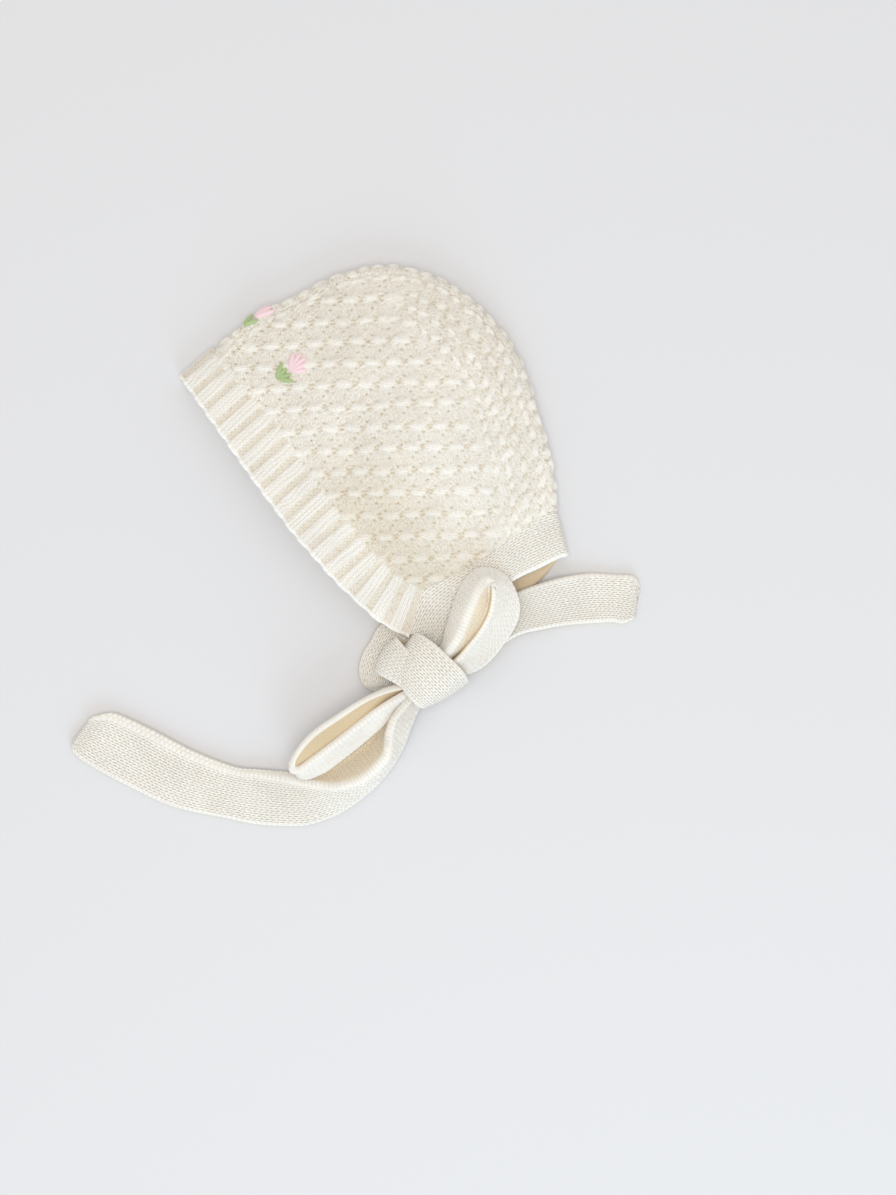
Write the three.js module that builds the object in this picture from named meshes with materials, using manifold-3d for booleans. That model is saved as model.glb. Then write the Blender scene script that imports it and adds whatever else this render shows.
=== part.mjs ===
// A knitted baby bonnet lying on its side with its ties in a bow: hood, ribbed brim, neck band, ties and two rosebuds.
// Millimetres. +X runs from the forehead to the neck, +Y from the brim to the back of the head, +Z up.
import * as THREE from "three";
import { mergeVertices } from "three/addons/utils/BufferGeometryUtils.js";
import Module from "manifold-3d";

const wasm = await Module();
wasm.setup();

// Driving sizes
const knit = 3; // the hood's wall
const tieKnit = 2.8; // the ties' thickness
const gap = 0.3; // kept between pieces that touch
const foldRadius = 4.6; // half the height of the folded edges
const puff = 22; // how far from a fold the hood takes to rise
const overrun = 12; // how far a cutting solid runs past an open edge
const lift = 0.7; // embroidery above the hood's surface

// The hood lies flat: its open face edge, then the fold round the forehead, crown and nape.
const faceEdge = [
  { x: 0, y: 0 },
  { x: 30, y: -3 },
  { x: 60, y: -6 },
  { x: 90, y: -8.3 },
  { x: 120, y: -8.2 },
  { x: 145, y: -6 },
  { x: 158, y: -2.4 },
  { x: 168, y: 1.5 },
  { x: 178, y: 5 },
];
const foldEdge = [
  { x: 0, y: 34 },
  { x: 1, y: 45 },
  { x: 6.5, y: 67 },
  { x: 13, y: 90 },
  { x: 24, y: 108 },
  { x: 40, y: 120.5 },
  { x: 60, y: 127 },
  { x: 82, y: 128.6 },
  { x: 102, y: 125 },
  { x: 122, y: 116.5 },
  { x: 145, y: 105.5 },
  { x: 164, y: 92.5 },
  { x: 183, y: 82 },
];
// How high the upper layer lies along the length, at the face edge and along the middle
const heights = [
  { x: 0, face: 12, middle: 16 },
  { x: 25, face: 14, middle: 20 },
  { x: 60, face: 16, middle: 26 },
  { x: 95, face: 16.5, middle: 28 },
  { x: 125, face: 15, middle: 25 },
  { x: 148, face: 11.5, middle: 18 },
  { x: 163, face: 8.2, middle: 13 },
  { x: 178, face: 7.6, middle: 12 },
];
const middleFrom = 0.6; // share of the depth at which the hood has its middle height
// Where the ribbing ends, up to the sloped end at the neck
const ribEnd = [
  { x: -overrun, y: 20.5 },
  { x: 50, y: 20 },
  { x: 68, y: 17 },
  { x: 95, y: 14.5 },
  { x: 135, y: 15 },
  { x: 150, y: 20 },
  { x: 157, y: 10 },
  { x: 163.5, y: 0.5 },
  { x: 166, y: -overrun * 2 },
];
// Where the neck band meets the hood, from the sloped end of the ribbing to the nape
const bandStart = [
  { x: 163.5, y: -overrun * 2 },
  { x: 157, y: 9 },
  { x: 150, y: 20 },
  { x: 153, y: 30 },
  { x: 157, y: 50 },
  { x: 158, y: 70 },
  { x: 160, y: 80 },
  { x: 164, y: 92 },
  { x: 170, y: 110 },
];
// The upper layer's neck edge, which stops short of the lower layer's
const bandEdge = [
  { x: 176, y: -overrun * 2 },
  { x: 175.5, y: 9 },
  { x: 173.6, y: 25 },
  { x: 173.6, y: 42 },
  { x: 175.2, y: 58 },
  { x: 179.6, y: 71 },
  { x: 183.5, y: 79.5 },
];
const knotEdge = [
  { x: 163.9, y: 9 },
  { x: 177, y: 10.6 },
]; // where the neck band runs into the knot
const neckBow = 1.6; // how far the lower layer's neck edge bows out

// Ties: each row is one section, from edge a to edge b. bow arches the section along its normal,
// and ridge lifts a fold along it, at this share of the way from a to b.
const farTieRows = [
  { ax: 149.2, ay: -6.2, az: 1.4, bx: 168, by: -1.2, bz: 1.4, bow: 0 },
  { ax: 151.8, ay: -14, az: 1.4, bx: 171, by: -8.5, bz: 1.4, bow: 0 },
  { ax: 154.5, ay: -22, az: 1.4, bx: 173, by: -15, bz: 1.4, bow: 0 },
  { ax: 159.5, ay: -28, az: 1.5, bx: 174.5, by: -18.5, bz: 1.5, bow: 0 },
  { ax: 165, ay: -31, az: 1.6, bx: 176, by: -21, bz: 1.6, bow: 0 },
];
const rightTailRows = [
  { ax: 177.5, ay: 12, az: 5, bx: 193, by: 12, bz: 5, bow: 0 },
  { ax: 177.8, ay: 25, az: 5, bx: 193.6, by: 25, bz: 5, bow: 0 },
  { ax: 178.4, ay: 40, az: 5, bx: 196, by: 40, bz: 4.8, bow: 0.3 },
  { ax: 180, ay: 53, az: 5, bx: 202, by: 51.5, bz: 4, bow: 0.6 },
  { ax: 183.5, ay: 62.5, az: 5.2, bx: 206.5, by: 59, bz: 2.4, bow: 0.8 },
  { ax: 188.5, ay: 73, az: 4.6, bx: 211.5, by: 66, bz: 1.6, bow: 0.8 },
  { ax: 195.5, ay: 84, az: 2, bx: 216.5, by: 72.5, bz: 1.4, bow: 0.6 },
  { ax: 204, ay: 93, az: 1.4, bx: 221, by: 78, bz: 1.4, bow: 0.3 },
  { ax: 211, ay: 99.6, az: 1.4, bx: 224.5, by: 81, bz: 1.4, bow: 0 },
  { ax: 216.5, ay: 99.4, az: 1.4, bx: 226.2, by: 84.5, bz: 1.4, bow: 0 },
];
const leftTailRows = [
  { ax: 186, ay: -19.6, az: 6.5, bx: 191.6, by: -19.4, bz: 7, bow: 0, ridge: 8, at: 0.6 },
  { ax: 186.6, ay: -28, az: 3.4, bx: 196, by: -27.5, bz: 4.4, bow: 0, ridge: 9.6, at: 0.62 },
  { ax: 186.8, ay: -38, az: 1.8, bx: 199, by: -38, bz: 2.4, bow: 0, ridge: 10.3, at: 0.66 },
  { ax: 186.6, ay: -50, az: 1.6, bx: 201.8, by: -50, bz: 1.8, bow: 0, ridge: 10, at: 0.67 },
  { ax: 185.6, ay: -62, az: 1.5, bx: 203.2, by: -62, bz: 1.6, bow: 0, ridge: 9, at: 0.64 },
  { ax: 183.6, ay: -71, az: 1.5, bx: 203.8, by: -73, bz: 1.5, bow: 0, ridge: 8, at: 0.57 },
  { ax: 180.8, ay: -79, az: 1.4, bx: 202.2, by: -83, bz: 1.4, bow: 0, ridge: 6.6, at: 0.44 },
  { ax: 176.2, ay: -84.6, az: 1.4, bx: 197.5, by: -94.5, bz: 1.4, bow: 0, ridge: 5, at: 0.3 },
  { ax: 170, ay: -89, az: 1.4, bx: 190, by: -103.5, bz: 1.4, bow: 0, ridge: 3.2, at: 0.2 },
  { ax: 163, ay: -95, az: 1.4, bx: 180.5, by: -113, bz: 1.4, bow: 0, ridge: 1.4, at: 0.12 },
  { ax: 156, ay: -101, az: 1.4, bx: 170, by: -121, bz: 1.4, bow: 0, ridge: 0, at: 0.1 },
  { ax: 138, ay: -111, az: 1.4, bx: 149, by: -136.5, bz: 1.4, bow: 0, ridge: 0, at: 0.1 },
  { ax: 115, ay: -120, az: 1.4, bx: 124, by: -147.5, bz: 1.4, bow: 0, ridge: 0, at: 0.1 },
  { ax: 104, ay: -125, az: 1.4, bx: 112, by: -152, bz: 1.4, bow: 0, ridge: 0, at: 0.1 },
  { ax: 97, ay: -129.5, az: 1.4, bx: 103, by: -154.6, bz: 1.4, bow: 0, ridge: 0, at: 0.1 },
  { ax: 92.6, ay: -136, az: 1.4, bx: 96.2, by: -155, bz: 1.4, bow: 0, ridge: 0, at: 0.1 },
];
const upperLoopRows = [
  { ax: 178.6, ay: 12, az: 19.5, bx: 176.6, by: 12, bz: 10, bow: 0 },
  { ax: 174.6, ay: 20, az: 25, bx: 171.2, by: 19.5, bz: 11.2, bow: -0.6 },
  { ax: 170.6, ay: 28, az: 27.5, bx: 166.4, by: 27.5, bz: 12.4, bow: -0.8 },
  { ax: 166.8, ay: 36.5, az: 29, bx: 162.6, by: 36.5, bz: 13.4, bow: -0.8 },
  { ax: 163.9, ay: 42.4, az: 29, bx: 161.4, by: 44.4, bz: 14.4, bow: -0.8 },
  { ax: 164.4, ay: 46, az: 28.6, bx: 163.6, by: 50, bz: 15, bow: -0.8 },
  { ax: 167.6, ay: 46.4, az: 28, bx: 168.6, by: 53.4, bz: 15, bow: -0.8 },
  { ax: 171, ay: 43.4, az: 27, bx: 175, by: 55.6, bz: 14.6, bow: -1 },
  { ax: 174.2, ay: 39.6, az: 25.8, bx: 180.4, by: 52.8, bz: 13.4, bow: -1.4 },
  { ax: 176.8, ay: 35.2, az: 24.4, bx: 185.6, by: 48.6, bz: 11.6, bow: -1.8 },
  { ax: 179, ay: 30.4, az: 23.2, bx: 190, by: 42.4, bz: 10, bow: -2 },
  { ax: 180.6, ay: 25, az: 22, bx: 192.8, by: 34.4, bz: 9.4, bow: -2 },
  { ax: 181.8, ay: 20, az: 21, bx: 194.2, by: 26.4, bz: 9.2, bow: -2 },
  { ax: 182.8, ay: 15.6, az: 20, bx: 194.4, by: 19, bz: 9.2, bow: -1.6 },
  { ax: 183.2, ay: 12, az: 19, bx: 193, by: 12, bz: 9.4, bow: -1 },
];
const lowerLoopRows = [
  { ax: 173.6, ay: -26, az: 16.5, bx: 171.4, by: -26, bz: 5.6, bow: 0 },
  { ax: 171.4, ay: -34, az: 19, bx: 169.6, by: -34, bz: 3, bow: 0.4 },
  { ax: 169, ay: -48, az: 20.5, bx: 167.2, by: -48, bz: 0.2, bow: 0.6 },
  { ax: 166.8, ay: -62, az: 20.5, bx: 165.5, by: -62, bz: 0.2, bow: 0.6 },
  { ax: 167, ay: -72, az: 20, bx: 166, by: -72, bz: 0.6, bow: 0.6 },
  { ax: 169.2, ay: -78.4, az: 19.4, bx: 168.6, by: -79.2, bz: 3.6, bow: 0.6 },
  { ax: 172.4, ay: -80.6, az: 19, bx: 173, by: -82.2, bz: 5, bow: 0.6 },
  { ax: 174.8, ay: -77.6, az: 19, bx: 177.6, by: -79.4, bz: 5, bow: 0.8 },
  { ax: 176.2, ay: -70, az: 19.4, bx: 180.6, by: -71.4, bz: 3.4, bow: 1 },
  { ax: 177.2, ay: -60, az: 20, bx: 182, by: -60, bz: 0.6, bow: 1 },
  { ax: 178.4, ay: -48, az: 20, bx: 183, by: -48, bz: 0.2, bow: 1 },
  { ax: 179.4, ay: -34, az: 19, bx: 183.6, by: -34, bz: 2.6, bow: 0.8 },
  { ax: 180.6, ay: -26, az: 18, bx: 183.2, by: -26, bz: 4.4, bow: 0.4 },
  { ax: 181.4, ay: -20, az: 16.5, bx: 182.8, by: -20, bz: 6, bow: 0 },
];
// The knot's wrap, section by section from its upper end to its lower end
const wrapRows = [
  { lx: 167, ly: 8.4, rx: 194, ry: 10.6, low: 5, top: 18 },
  { lx: 164, ly: 6.4, rx: 197, ry: 8.4, low: 3.6, top: 20.4 },
  { lx: 164.4, ly: 0.6, rx: 197.2, ry: 3, low: 3.3, top: 21.4 },
  { lx: 168, ly: -6.4, rx: 195.2, ry: -4.6, low: 3.3, top: 21 },
  { lx: 171, ly: -12, rx: 192.6, ry: -11, low: 3.4, top: 19.6 },
  { lx: 176.4, ly: -17, rx: 190.2, ry: -17.4, low: 5, top: 16.6 },
];
// The turn of tie beside the wrap: the middle of each section, its half width and half height
const tuckRows = [
  { x: 164.4, y: -4.2, z: 9, half: 1.4, rise: 2.2 },
  { x: 163.8, y: -7, z: 8.6, half: 2.8, rise: 4.6 },
  { x: 163.8, y: -12, z: 8.2, half: 3.4, rise: 4.8 },
  { x: 165.8, y: -17.4, z: 8, half: 3.5, rise: 4.6 },
  { x: 169.8, y: -21, z: 7.6, half: 3.4, rise: 4.2 },
  { x: 174.6, y: -22.4, z: 7.2, half: 2.6, rise: 3.6 },
  { x: 177.4, y: -22, z: 7, half: 1.2, rise: 2 },
];
// Rosebuds: one strand a row, from its foot to its tip. turn is how far round the forehead fold it lies.
const sideBudPetals = [
  { fromX: 31.4, fromY: 41.5, toX: 27.6, toY: 47.4, half: 1.3 },
  { fromX: 31.8, fromY: 41.5, toX: 29.8, toY: 49.4, half: 1.4 },
  { fromX: 32.4, fromY: 41.5, toX: 32.4, toY: 50, half: 1.4 },
  { fromX: 33, fromY: 41.5, toX: 35, toY: 49, half: 1.4 },
  { fromX: 33.4, fromY: 41.5, toX: 37, toY: 46.6, half: 1.3 },
];
const sideBudLeaves = [
  { fromX: 30.4, fromY: 34.2, toX: 27, toY: 40.4, half: 1.2 },
  { fromX: 30.8, fromY: 34.4, toX: 31.4, toY: 39.4, half: 1.1 },
  { fromX: 31.2, fromY: 34.2, toX: 37, toY: 38.8, half: 1.2 },
];
const topBudPetals = [
  { fromY: 46.4, toY: 52.6, fromTurn: 48, toTurn: 22, half: 1.4 },
  { fromY: 46.2, toY: 53.8, fromTurn: 52, toTurn: 44, half: 1.4 },
  { fromY: 46.2, toY: 53.6, fromTurn: 58, toTurn: 68, half: 1.4 },
];
const topBudLeaves = [
  { fromY: 39.4, toY: 45, fromTurn: 50, toTurn: 30, half: 1.1 },
  { fromY: 39.4, toY: 44.6, fromTurn: 54, toTurn: 72, half: 1.1 },
];
const ridgeSpread = 0.26; // half the width of a tie's fold, as a share of the tie
const topBudProud = 7.1; // how far the top bud's strands lie from the middle of the fold

const materials = {
  ivoryKnit: { color: 0xf4efe2, roughness: 0.95, metalness: 0 },
  pinkFloss: { color: 0xf0cbd2, roughness: 0.8, metalness: 0 },
  greenFloss: { color: 0xa9c285, roughness: 0.8, metalness: 0 },
};

const clamp01 = (t) => Math.min(1, Math.max(0, t));

// The row values at x, read off a table whose first column is x
function rowAt(table, x, column) {
  const last = table.length - 1;
  const next = table.findIndex((row) => row.x > x);
  if (next === 0) return table[0][column];
  if (next < 0) return table[last][column];
  const [a, b] = [table[next - 1], table[next]];
  const t = (x - a.x) / (b.x - a.x);
  const smooth = t * t * (3 - 2 * t);
  return a[column] + (b[column] - a[column]) * (column === "y" ? t : smooth);
}

const curveThrough = (table) =>
  new THREE.CatmullRomCurve3(table.map(({ x, y }) => new THREE.Vector3(x, y, 0)), false, "centripetal");
const faceCurve = curveThrough(faceEdge);
const foldCurve = curveThrough(foldEdge);
const foldLine = [
  new THREE.Vector3(faceEdge[0].x, faceEdge[0].y - overrun, 0),
  ...foldCurve.getSpacedPoints(120),
];

// Distance in plan from a point to the folded edge
function foldDistance(x, y) {
  const point = new THREE.Vector3(x, y, 0);
  const nearest = new THREE.Vector3();
  const segment = new THREE.Line3();
  let best = Infinity;
  for (let i = 1; i < foldLine.length; i++) {
    segment.set(foldLine[i - 1], foldLine[i]).closestPointToPoint(point, true, nearest);
    best = Math.min(best, nearest.distanceTo(point));
  }
  return best;
}

// Height of the upper layer's outside away from the round of the fold
function layHeight(x, y) {
  const near = rowAt(faceEdge, x, "y");
  const far = rowAt(foldEdge, x, "y");
  const depth = clamp01((y - near) / Math.max(far - near, 1) / middleFrom);
  const face = rowAt(heights, x, "face");
  const open = face + (rowAt(heights, x, "middle") - face) * Math.sin((depth * Math.PI) / 2) ** 2;
  const rise = 1 - Math.exp(-foldDistance(x, y) / puff);
  return 2 * foldRadius + (open - 2 * foldRadius) * rise;
}

// Top of the upper layer and bottom of the lower one, rounded together at the fold. wall moves both inwards.
function bagHeights(x, y, wall) {
  const radius = foldRadius - wall;
  const inside = clamp01((foldDistance(x, y) - wall) / radius);
  const round = Math.sqrt(1 - (1 - inside) ** 2);
  return {
    top: foldRadius + (layHeight(x, y) - wall - foldRadius) * round,
    low: foldRadius - radius * round,
  };
}

// A point of the flat hood: u runs along the face edge and the fold, v from the face edge to the fold
function bagPlan(u, v, wall) {
  const face = faceCurve.getPointAt(u);
  const fold = foldCurve.getPointAt(u);
  const along = foldCurve.getTangentAt(u);
  const past = wall ? overrun * clamp01((u - 0.88) / 0.12) ** 2 : 0;
  fold.x += along.y * wall + along.x * past;
  fold.y += -along.x * wall + along.y * past;
  face.x += wall * (1 - u) + past;
  face.y -= wall ? overrun : 0;
  const point = face.lerp(fold, v);
  point.x += neckBow * 4 * v * (1 - v) * clamp01((u - 0.8) / 0.2) ** 2;
  return point;
}

function meshFrom(vertices, triangles) {
  const geometry = new THREE.BufferGeometry();
  geometry.setAttribute("position", new THREE.Float32BufferAttribute(vertices.flat(), 3));
  geometry.setIndex(triangles.flat());
  return geometry;
}

// The closed form between the bag's upper and lower surfaces
function bagSolid(wall, across, deep) {
  const vertices = [];
  const triangles = [];
  const index = (side, i, j) => (side * (across + 1) + i) * (deep + 1) + j;
  for (const side of [0, 1]) {
    for (let i = 0; i <= across; i++) {
      for (let j = 0; j <= deep; j++) {
        const u = (i / across) ** 1.5;
        const v = 1 - (1 - j / deep) ** 1.7;
        const { x, y } = bagPlan(u, v, wall);
        const { top, low } = bagHeights(x, y, wall);
        const onFold = i === 0 || j === deep;
        vertices.push([x, y, onFold ? foldRadius : side ? top : low]);
      }
    }
  }
  const quad = (a, b, c, d) => triangles.push([a, b, c], [a, c, d]);
  for (let i = 0; i < across; i++) {
    for (let j = 0; j < deep; j++) {
      quad(index(1, i, j), index(1, i + 1, j), index(1, i + 1, j + 1), index(1, i, j + 1));
      quad(index(0, i, j), index(0, i, j + 1), index(0, i + 1, j + 1), index(0, i + 1, j));
    }
    quad(index(0, i, 0), index(0, i + 1, 0), index(1, i + 1, 0), index(1, i, 0));
  }
  for (let j = 0; j < deep; j++) {
    quad(index(0, across, j), index(0, across, j + 1), index(1, across, j + 1), index(1, across, j));
  }
  return solidFrom(meshFrom(vertices, triangles));
}

// A geometry as a solid that can be joined and cut, and back
function solidFrom(geometry) {
  const bare = geometry.clone();
  bare.deleteAttribute("normal");
  bare.deleteAttribute("uv");
  const merged = mergeVertices(bare, 1e-4);
  const corners = merged.index.array;
  const kept = [];
  for (let i = 0; i < corners.length; i += 3) {
    const [a, b, c] = corners.slice(i, i + 3);
    if (a !== b && b !== c && c !== a) kept.push(a, b, c);
  }
  return new wasm.Manifold(
    new wasm.Mesh({
      numProp: 3,
      vertProperties: new Float32Array(merged.attributes.position.array),
      triVerts: new Uint32Array(kept),
    }),
  );
}

function geometryFrom(solid) {
  const { numProp, vertProperties, triVerts } = solid.getMesh();
  const vertices = [];
  for (let i = 0; i < vertProperties.length; i += numProp) {
    vertices.push([...vertProperties.slice(i, i + 3)]);
  }
  return meshFrom(vertices, [[...triVerts]]);
}

// A tall block over an outline, from one height to another
function block(outline, low = -overrun, top = 60) {
  const shape = new THREE.Shape(outline.map(({ x, y }) => new THREE.Vector2(x, y)));
  const geometry = new THREE.ExtrudeGeometry(shape, { depth: top - low, bevelEnabled: false });
  return solidFrom(geometry.translate(0, 0, low));
}

const moved = (table, dx, dy) => table.map(({ x, y }) => ({ x: x + dx, y: y + dy }));

// The hood's two layers, then the brim, band and crown cut from them with a gap between
function hoodPieces() {
  const farRight = 230;
  const hollow = bagSolid(knit, 24, 12);
  const bonnet = bagSolid(0, 28, 16)
    .subtract(hollow)
    .subtract(block([...knotEdge, { x: farRight, y: 10.6 }, { x: farRight, y: -40 }, { x: 163.9, y: -40 }]))
    .subtract(block([...bandEdge, { x: farRight, y: 79.5 }, { x: farRight, y: -24 }], foldRadius));
  const brimOutline = (extra) => [
    ...moved(ribEnd, extra * 0.6, extra),
    { x: -overrun, y: -overrun * 2 },
  ];
  const bandOutline = (extra) => [
    ...moved(bandStart, -extra, 0),
    { x: farRight, y: 110 },
    { x: farRight, y: -overrun * 2 },
  ];
  const beyondBrim = bonnet.subtract(block(brimOutline(gap)));
  return {
    brim: bonnet.intersect(block(brimOutline(0))),
    neck_band: beyondBrim.intersect(block(bandOutline(0))),
    crown: beyondBrim.subtract(block(bandOutline(gap))),
  };
}

// A closed form through rings of equal length, capped at both ends
function throughRings(rings) {
  const size = rings[0].length;
  const triangles = [];
  rings.slice(1).forEach((_, r) => {
    for (let i = 0; i < size; i++) {
      const [a, b] = [r * size + i, r * size + ((i + 1) % size)];
      triangles.push([a, b, b + size], [a, b + size, a + size]);
    }
  });
  const last = (rings.length - 1) * size;
  for (let i = 1; i < size / 2; i++) {
    const [near, far] = [size - i, size - i - 1];
    triangles.push([i - 1, near % size, i], [i, near % size, far]);
    triangles.push([last + i - 1, last + i, last + (near % size)], [last + i, last + far, last + (near % size)]);
  }
  const points = rings.flat().map((p) => p.toArray());
  const volume = triangles.reduce((sum, [a, b, c]) => {
    const [p, q, r] = [a, b, c].map((k) => new THREE.Vector3(...points[k]));
    return sum + p.dot(q.cross(r));
  }, 0);
  const outward = volume > 0 ? triangles : triangles.map(([a, b, c]) => [a, c, b]);
  return meshFrom(points, outward);
}

// A flat knitted tie through a table of sections
function tie(rows, steps, { cuts = 5, thickness = tieKnit } = {}) {
  const rail = (side) =>
    new THREE.CatmullRomCurve3(
      rows.map((row) => new THREE.Vector3(row[side + "x"], row[side + "y"], row[side + "z"])),
      false,
      "centripetal",
    );
  const [edgeA, edgeB] = [rail("a"), rail("b")];
  const rings = [];
  for (let s = 0; s <= steps; s++) {
    const t = s / steps;
    const [a, b] = [edgeA.getPoint(t), edgeB.getPoint(t)];
    const along = edgeA.getTangent(t).add(edgeB.getTangent(t));
    const normal = new THREE.Vector3().crossVectors(along, b.clone().sub(a)).normalize();
    const place = t * (rows.length - 1);
    const from = Math.min(Math.floor(place), rows.length - 2);
    const between = (name) =>
      THREE.MathUtils.lerp(rows[from][name] ?? 0, rows[from + 1][name] ?? 0, place - from);
    const [bow, ridge, ridgeAt] = [between("bow"), between("ridge"), between("at")];
    const at = (w, side) => {
      const edge = Math.min(w, 1 - w) === 0 ? 0.5 : 1; // the edges are rounded off
      const out = bow * 4 * w * (1 - w) + (side * edge * thickness) / 2;
      const point = a.clone().lerp(b, w).addScaledVector(normal, out);
      point.z += ridge * Math.exp(-(((w - ridgeAt) / ridgeSpread) ** 2));
      point.z = Math.max(point.z, 0); // what the bonnet lies on
      return point;
    };
    const ring = [];
    for (let i = 0; i <= cuts; i++) ring.push(at(i / cuts, 1));
    for (let i = cuts; i >= 0; i--) ring.push(at(i / cuts, -1));
    rings.push(ring);
  }
  return throughRings(rings);
}

// The knot's wrap: rounded sections in upright planes
function knotWrap(sides = 20) {
  const rings = wrapRows.map(({ lx, ly, rx, ry, low, top }) => {
    const middle = new THREE.Vector3((lx + rx) / 2, (ly + ry) / 2, (low + top) / 2);
    const half = new THREE.Vector3((rx - lx) / 2, (ry - ly) / 2, 0);
    const square = (t) => Math.sign(t) * Math.abs(t) ** 0.75;
    return Array.from({ length: sides }, (_, i) => {
      const angle = (2 * Math.PI * (i + 0.5)) / sides;
      const point = middle.clone().addScaledVector(half, square(Math.cos(angle)));
      point.z += ((top - low) / 2) * square(Math.sin(angle));
      return point;
    });
  });
  return throughRings(rings);
}

function knotTuck(sides = 12) {
  const rings = tuckRows.map(({ x, y, z, half, rise }, i) => {
    const before = tuckRows[Math.max(i - 1, 0)];
    const after = tuckRows[Math.min(i + 1, tuckRows.length - 1)];
    const across = new THREE.Vector3(before.y - after.y, after.x - before.x, 0).normalize();
    return Array.from({ length: sides }, (_, k) => {
      const angle = (2 * Math.PI * (k + 0.5)) / sides;
      const point = new THREE.Vector3(x, y, z).addScaledVector(across, half * Math.cos(angle));
      point.z += rise * Math.sin(angle);
      return point;
    });
  });
  return throughRings(rings);
}

// One satin strand between two points, as a long bead
function strand(from, to, half) {
  const bead = new THREE.SphereGeometry(1, 8, 6);
  const length = from.distanceTo(to) / 2 + half / 2;
  const turn = new THREE.Quaternion().setFromUnitVectors(
    new THREE.Vector3(0, 1, 0),
    to.clone().sub(from).normalize(),
  );
  return bead
    .scale(half, length, half)
    .applyQuaternion(turn)
    .translate(...from.clone().add(to).divideScalar(2).toArray());
}

const joined = (geometries) =>
  geometries.map(solidFrom).reduce((whole, next) => whole.add(next));

function onHood(x, y, half) {
  return new THREE.Vector3(x, y, layHeight(x, y) + half + lift);
}

const sideBud = (rows) =>
  joined(rows.map((r) => strand(onHood(r.fromX, r.fromY, r.half), onHood(r.toX, r.toY, r.half), r.half)));

// On the forehead fold: turn is the angle up from level, about the middle of the fold
function onFold(y, turn) {
  const side = rowAt(foldEdge.map((p) => ({ x: p.y, y: p.x })), y, "y");
  const angle = THREE.MathUtils.degToRad(turn);
  const x = side + foldRadius - topBudProud * Math.cos(angle);
  return new THREE.Vector3(x, y, foldRadius + topBudProud * Math.sin(angle));
}

const topBud = (rows) =>
  joined(rows.map((r) => strand(onFold(r.fromY, r.fromTurn), onFold(r.toY, r.toTurn), r.half)));

const group = new THREE.Group();

function add(name, geometry, material = "ivoryKnit") {
  const whole = geometry.isBufferGeometry ? geometry : geometryFrom(geometry);
  whole.computeVertexNormals();
  const mesh = new THREE.Mesh(whole, new THREE.MeshStandardMaterial(materials[material]));
  mesh.name = name;
  group.add(mesh);
}

for (const [name, solid] of Object.entries(hoodPieces())) add(name, solid);
add("far_tie", tie(farTieRows, 10));
add("right_tail", tie(rightTailRows, 22));
add("left_tail", tie(leftTailRows, 36, { cuts: 6 }));
add("upper_loop", tie(upperLoopRows, 30));
add("lower_loop", tie(lowerLoopRows, 30));
add("knot_wrap", knotWrap());
add("knot_tuck", knotTuck());
add("side_bud_petals", sideBud(sideBudPetals), "pinkFloss");
add("side_bud_leaves", sideBud(sideBudLeaves), "greenFloss");
add("top_bud_petals", topBud(topBudPetals), "pinkFloss");
add("top_bud_leaves", topBud(topBudLeaves), "greenFloss");

// The origin is under the middle of the bonnet, on the surface it lies on.
const box = new THREE.Box3().setFromObject(group);
const middle = box.getCenter(new THREE.Vector3());
group.position.set(-middle.x, -middle.y, -box.min.z);

export default group;
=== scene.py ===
import math
import bpy
import numpy as np
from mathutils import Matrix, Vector


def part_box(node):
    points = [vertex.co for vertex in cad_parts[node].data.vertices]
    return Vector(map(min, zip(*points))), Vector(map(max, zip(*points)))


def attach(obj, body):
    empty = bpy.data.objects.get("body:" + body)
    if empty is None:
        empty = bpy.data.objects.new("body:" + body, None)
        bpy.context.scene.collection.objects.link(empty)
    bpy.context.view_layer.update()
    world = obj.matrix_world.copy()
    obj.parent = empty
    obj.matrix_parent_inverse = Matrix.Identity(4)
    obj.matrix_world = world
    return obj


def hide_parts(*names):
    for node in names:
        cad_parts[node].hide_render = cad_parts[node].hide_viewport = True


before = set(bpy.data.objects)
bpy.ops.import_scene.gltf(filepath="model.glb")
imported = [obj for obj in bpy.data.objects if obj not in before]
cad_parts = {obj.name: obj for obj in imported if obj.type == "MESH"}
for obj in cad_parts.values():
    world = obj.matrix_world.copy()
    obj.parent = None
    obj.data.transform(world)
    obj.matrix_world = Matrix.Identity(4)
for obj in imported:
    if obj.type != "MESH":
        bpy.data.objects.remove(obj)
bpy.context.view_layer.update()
print("frame loaded:", len(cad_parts), "nodes")

# Shapes are in millimetres in the hood's own frame: x from the forehead fold to the neck, y from the
# brim's forehead corner to the back of the head, z up. toPart puts them in the part's frame, in metres.
hood = {
    "wall": 3.0,           # the knitted wall
    "foldRadius": 4.6,     # half the height of a folded edge
    "farMiddle": 1.6,      # how high the middle of the far layer's wall lies
    "puff": 22.0,          # how far from a fold the hood takes to rise
    "middleFrom": 0.6,     # share of the depth where it has its middle height
    "brimBow": 8.54,       # how far the brim bows below its forehead corner
    "faceEdge": [(0, 0), (30, -3), (60, -6), (90, -8.3), (120, -8.2), (145, -6), (158, -2.4), (163.5, 0.5)],
    "ribEnd": [(0, 20.5), (50, 20), (68, 17), (95, 14.5), (135, 15), (150, 20)],
    "foldEdge": [(0, 20.8), (0, 34), (1, 45), (6.5, 67), (13, 90), (24, 108), (40, 120.5), (60, 127),
                 (82, 128.6), (102, 125), (122, 116.5), (145, 105.5), (164, 92.5), (183, 82)],
    # along x: height of the upper layer at the face edge and along the middle
    "heights": [(0, 12, 16), (25, 14, 20), (60, 16, 26), (95, 16.5, 28), (125, 15, 25),
                (148, 11.5, 18), (163, 8.2, 13), (178, 7.6, 12)],
}
stitch = {
    "column": 2.1, "row": 2.4,                # one V stitch of the plain knitting
    "plainRelief": 0.5, "purlRelief": 0.45,
    "rib": 9.43, "ribRow": 2.2,               # five columns of the rib, and one row of it
    "across": 6,                              # mesh cells across a column
}
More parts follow.
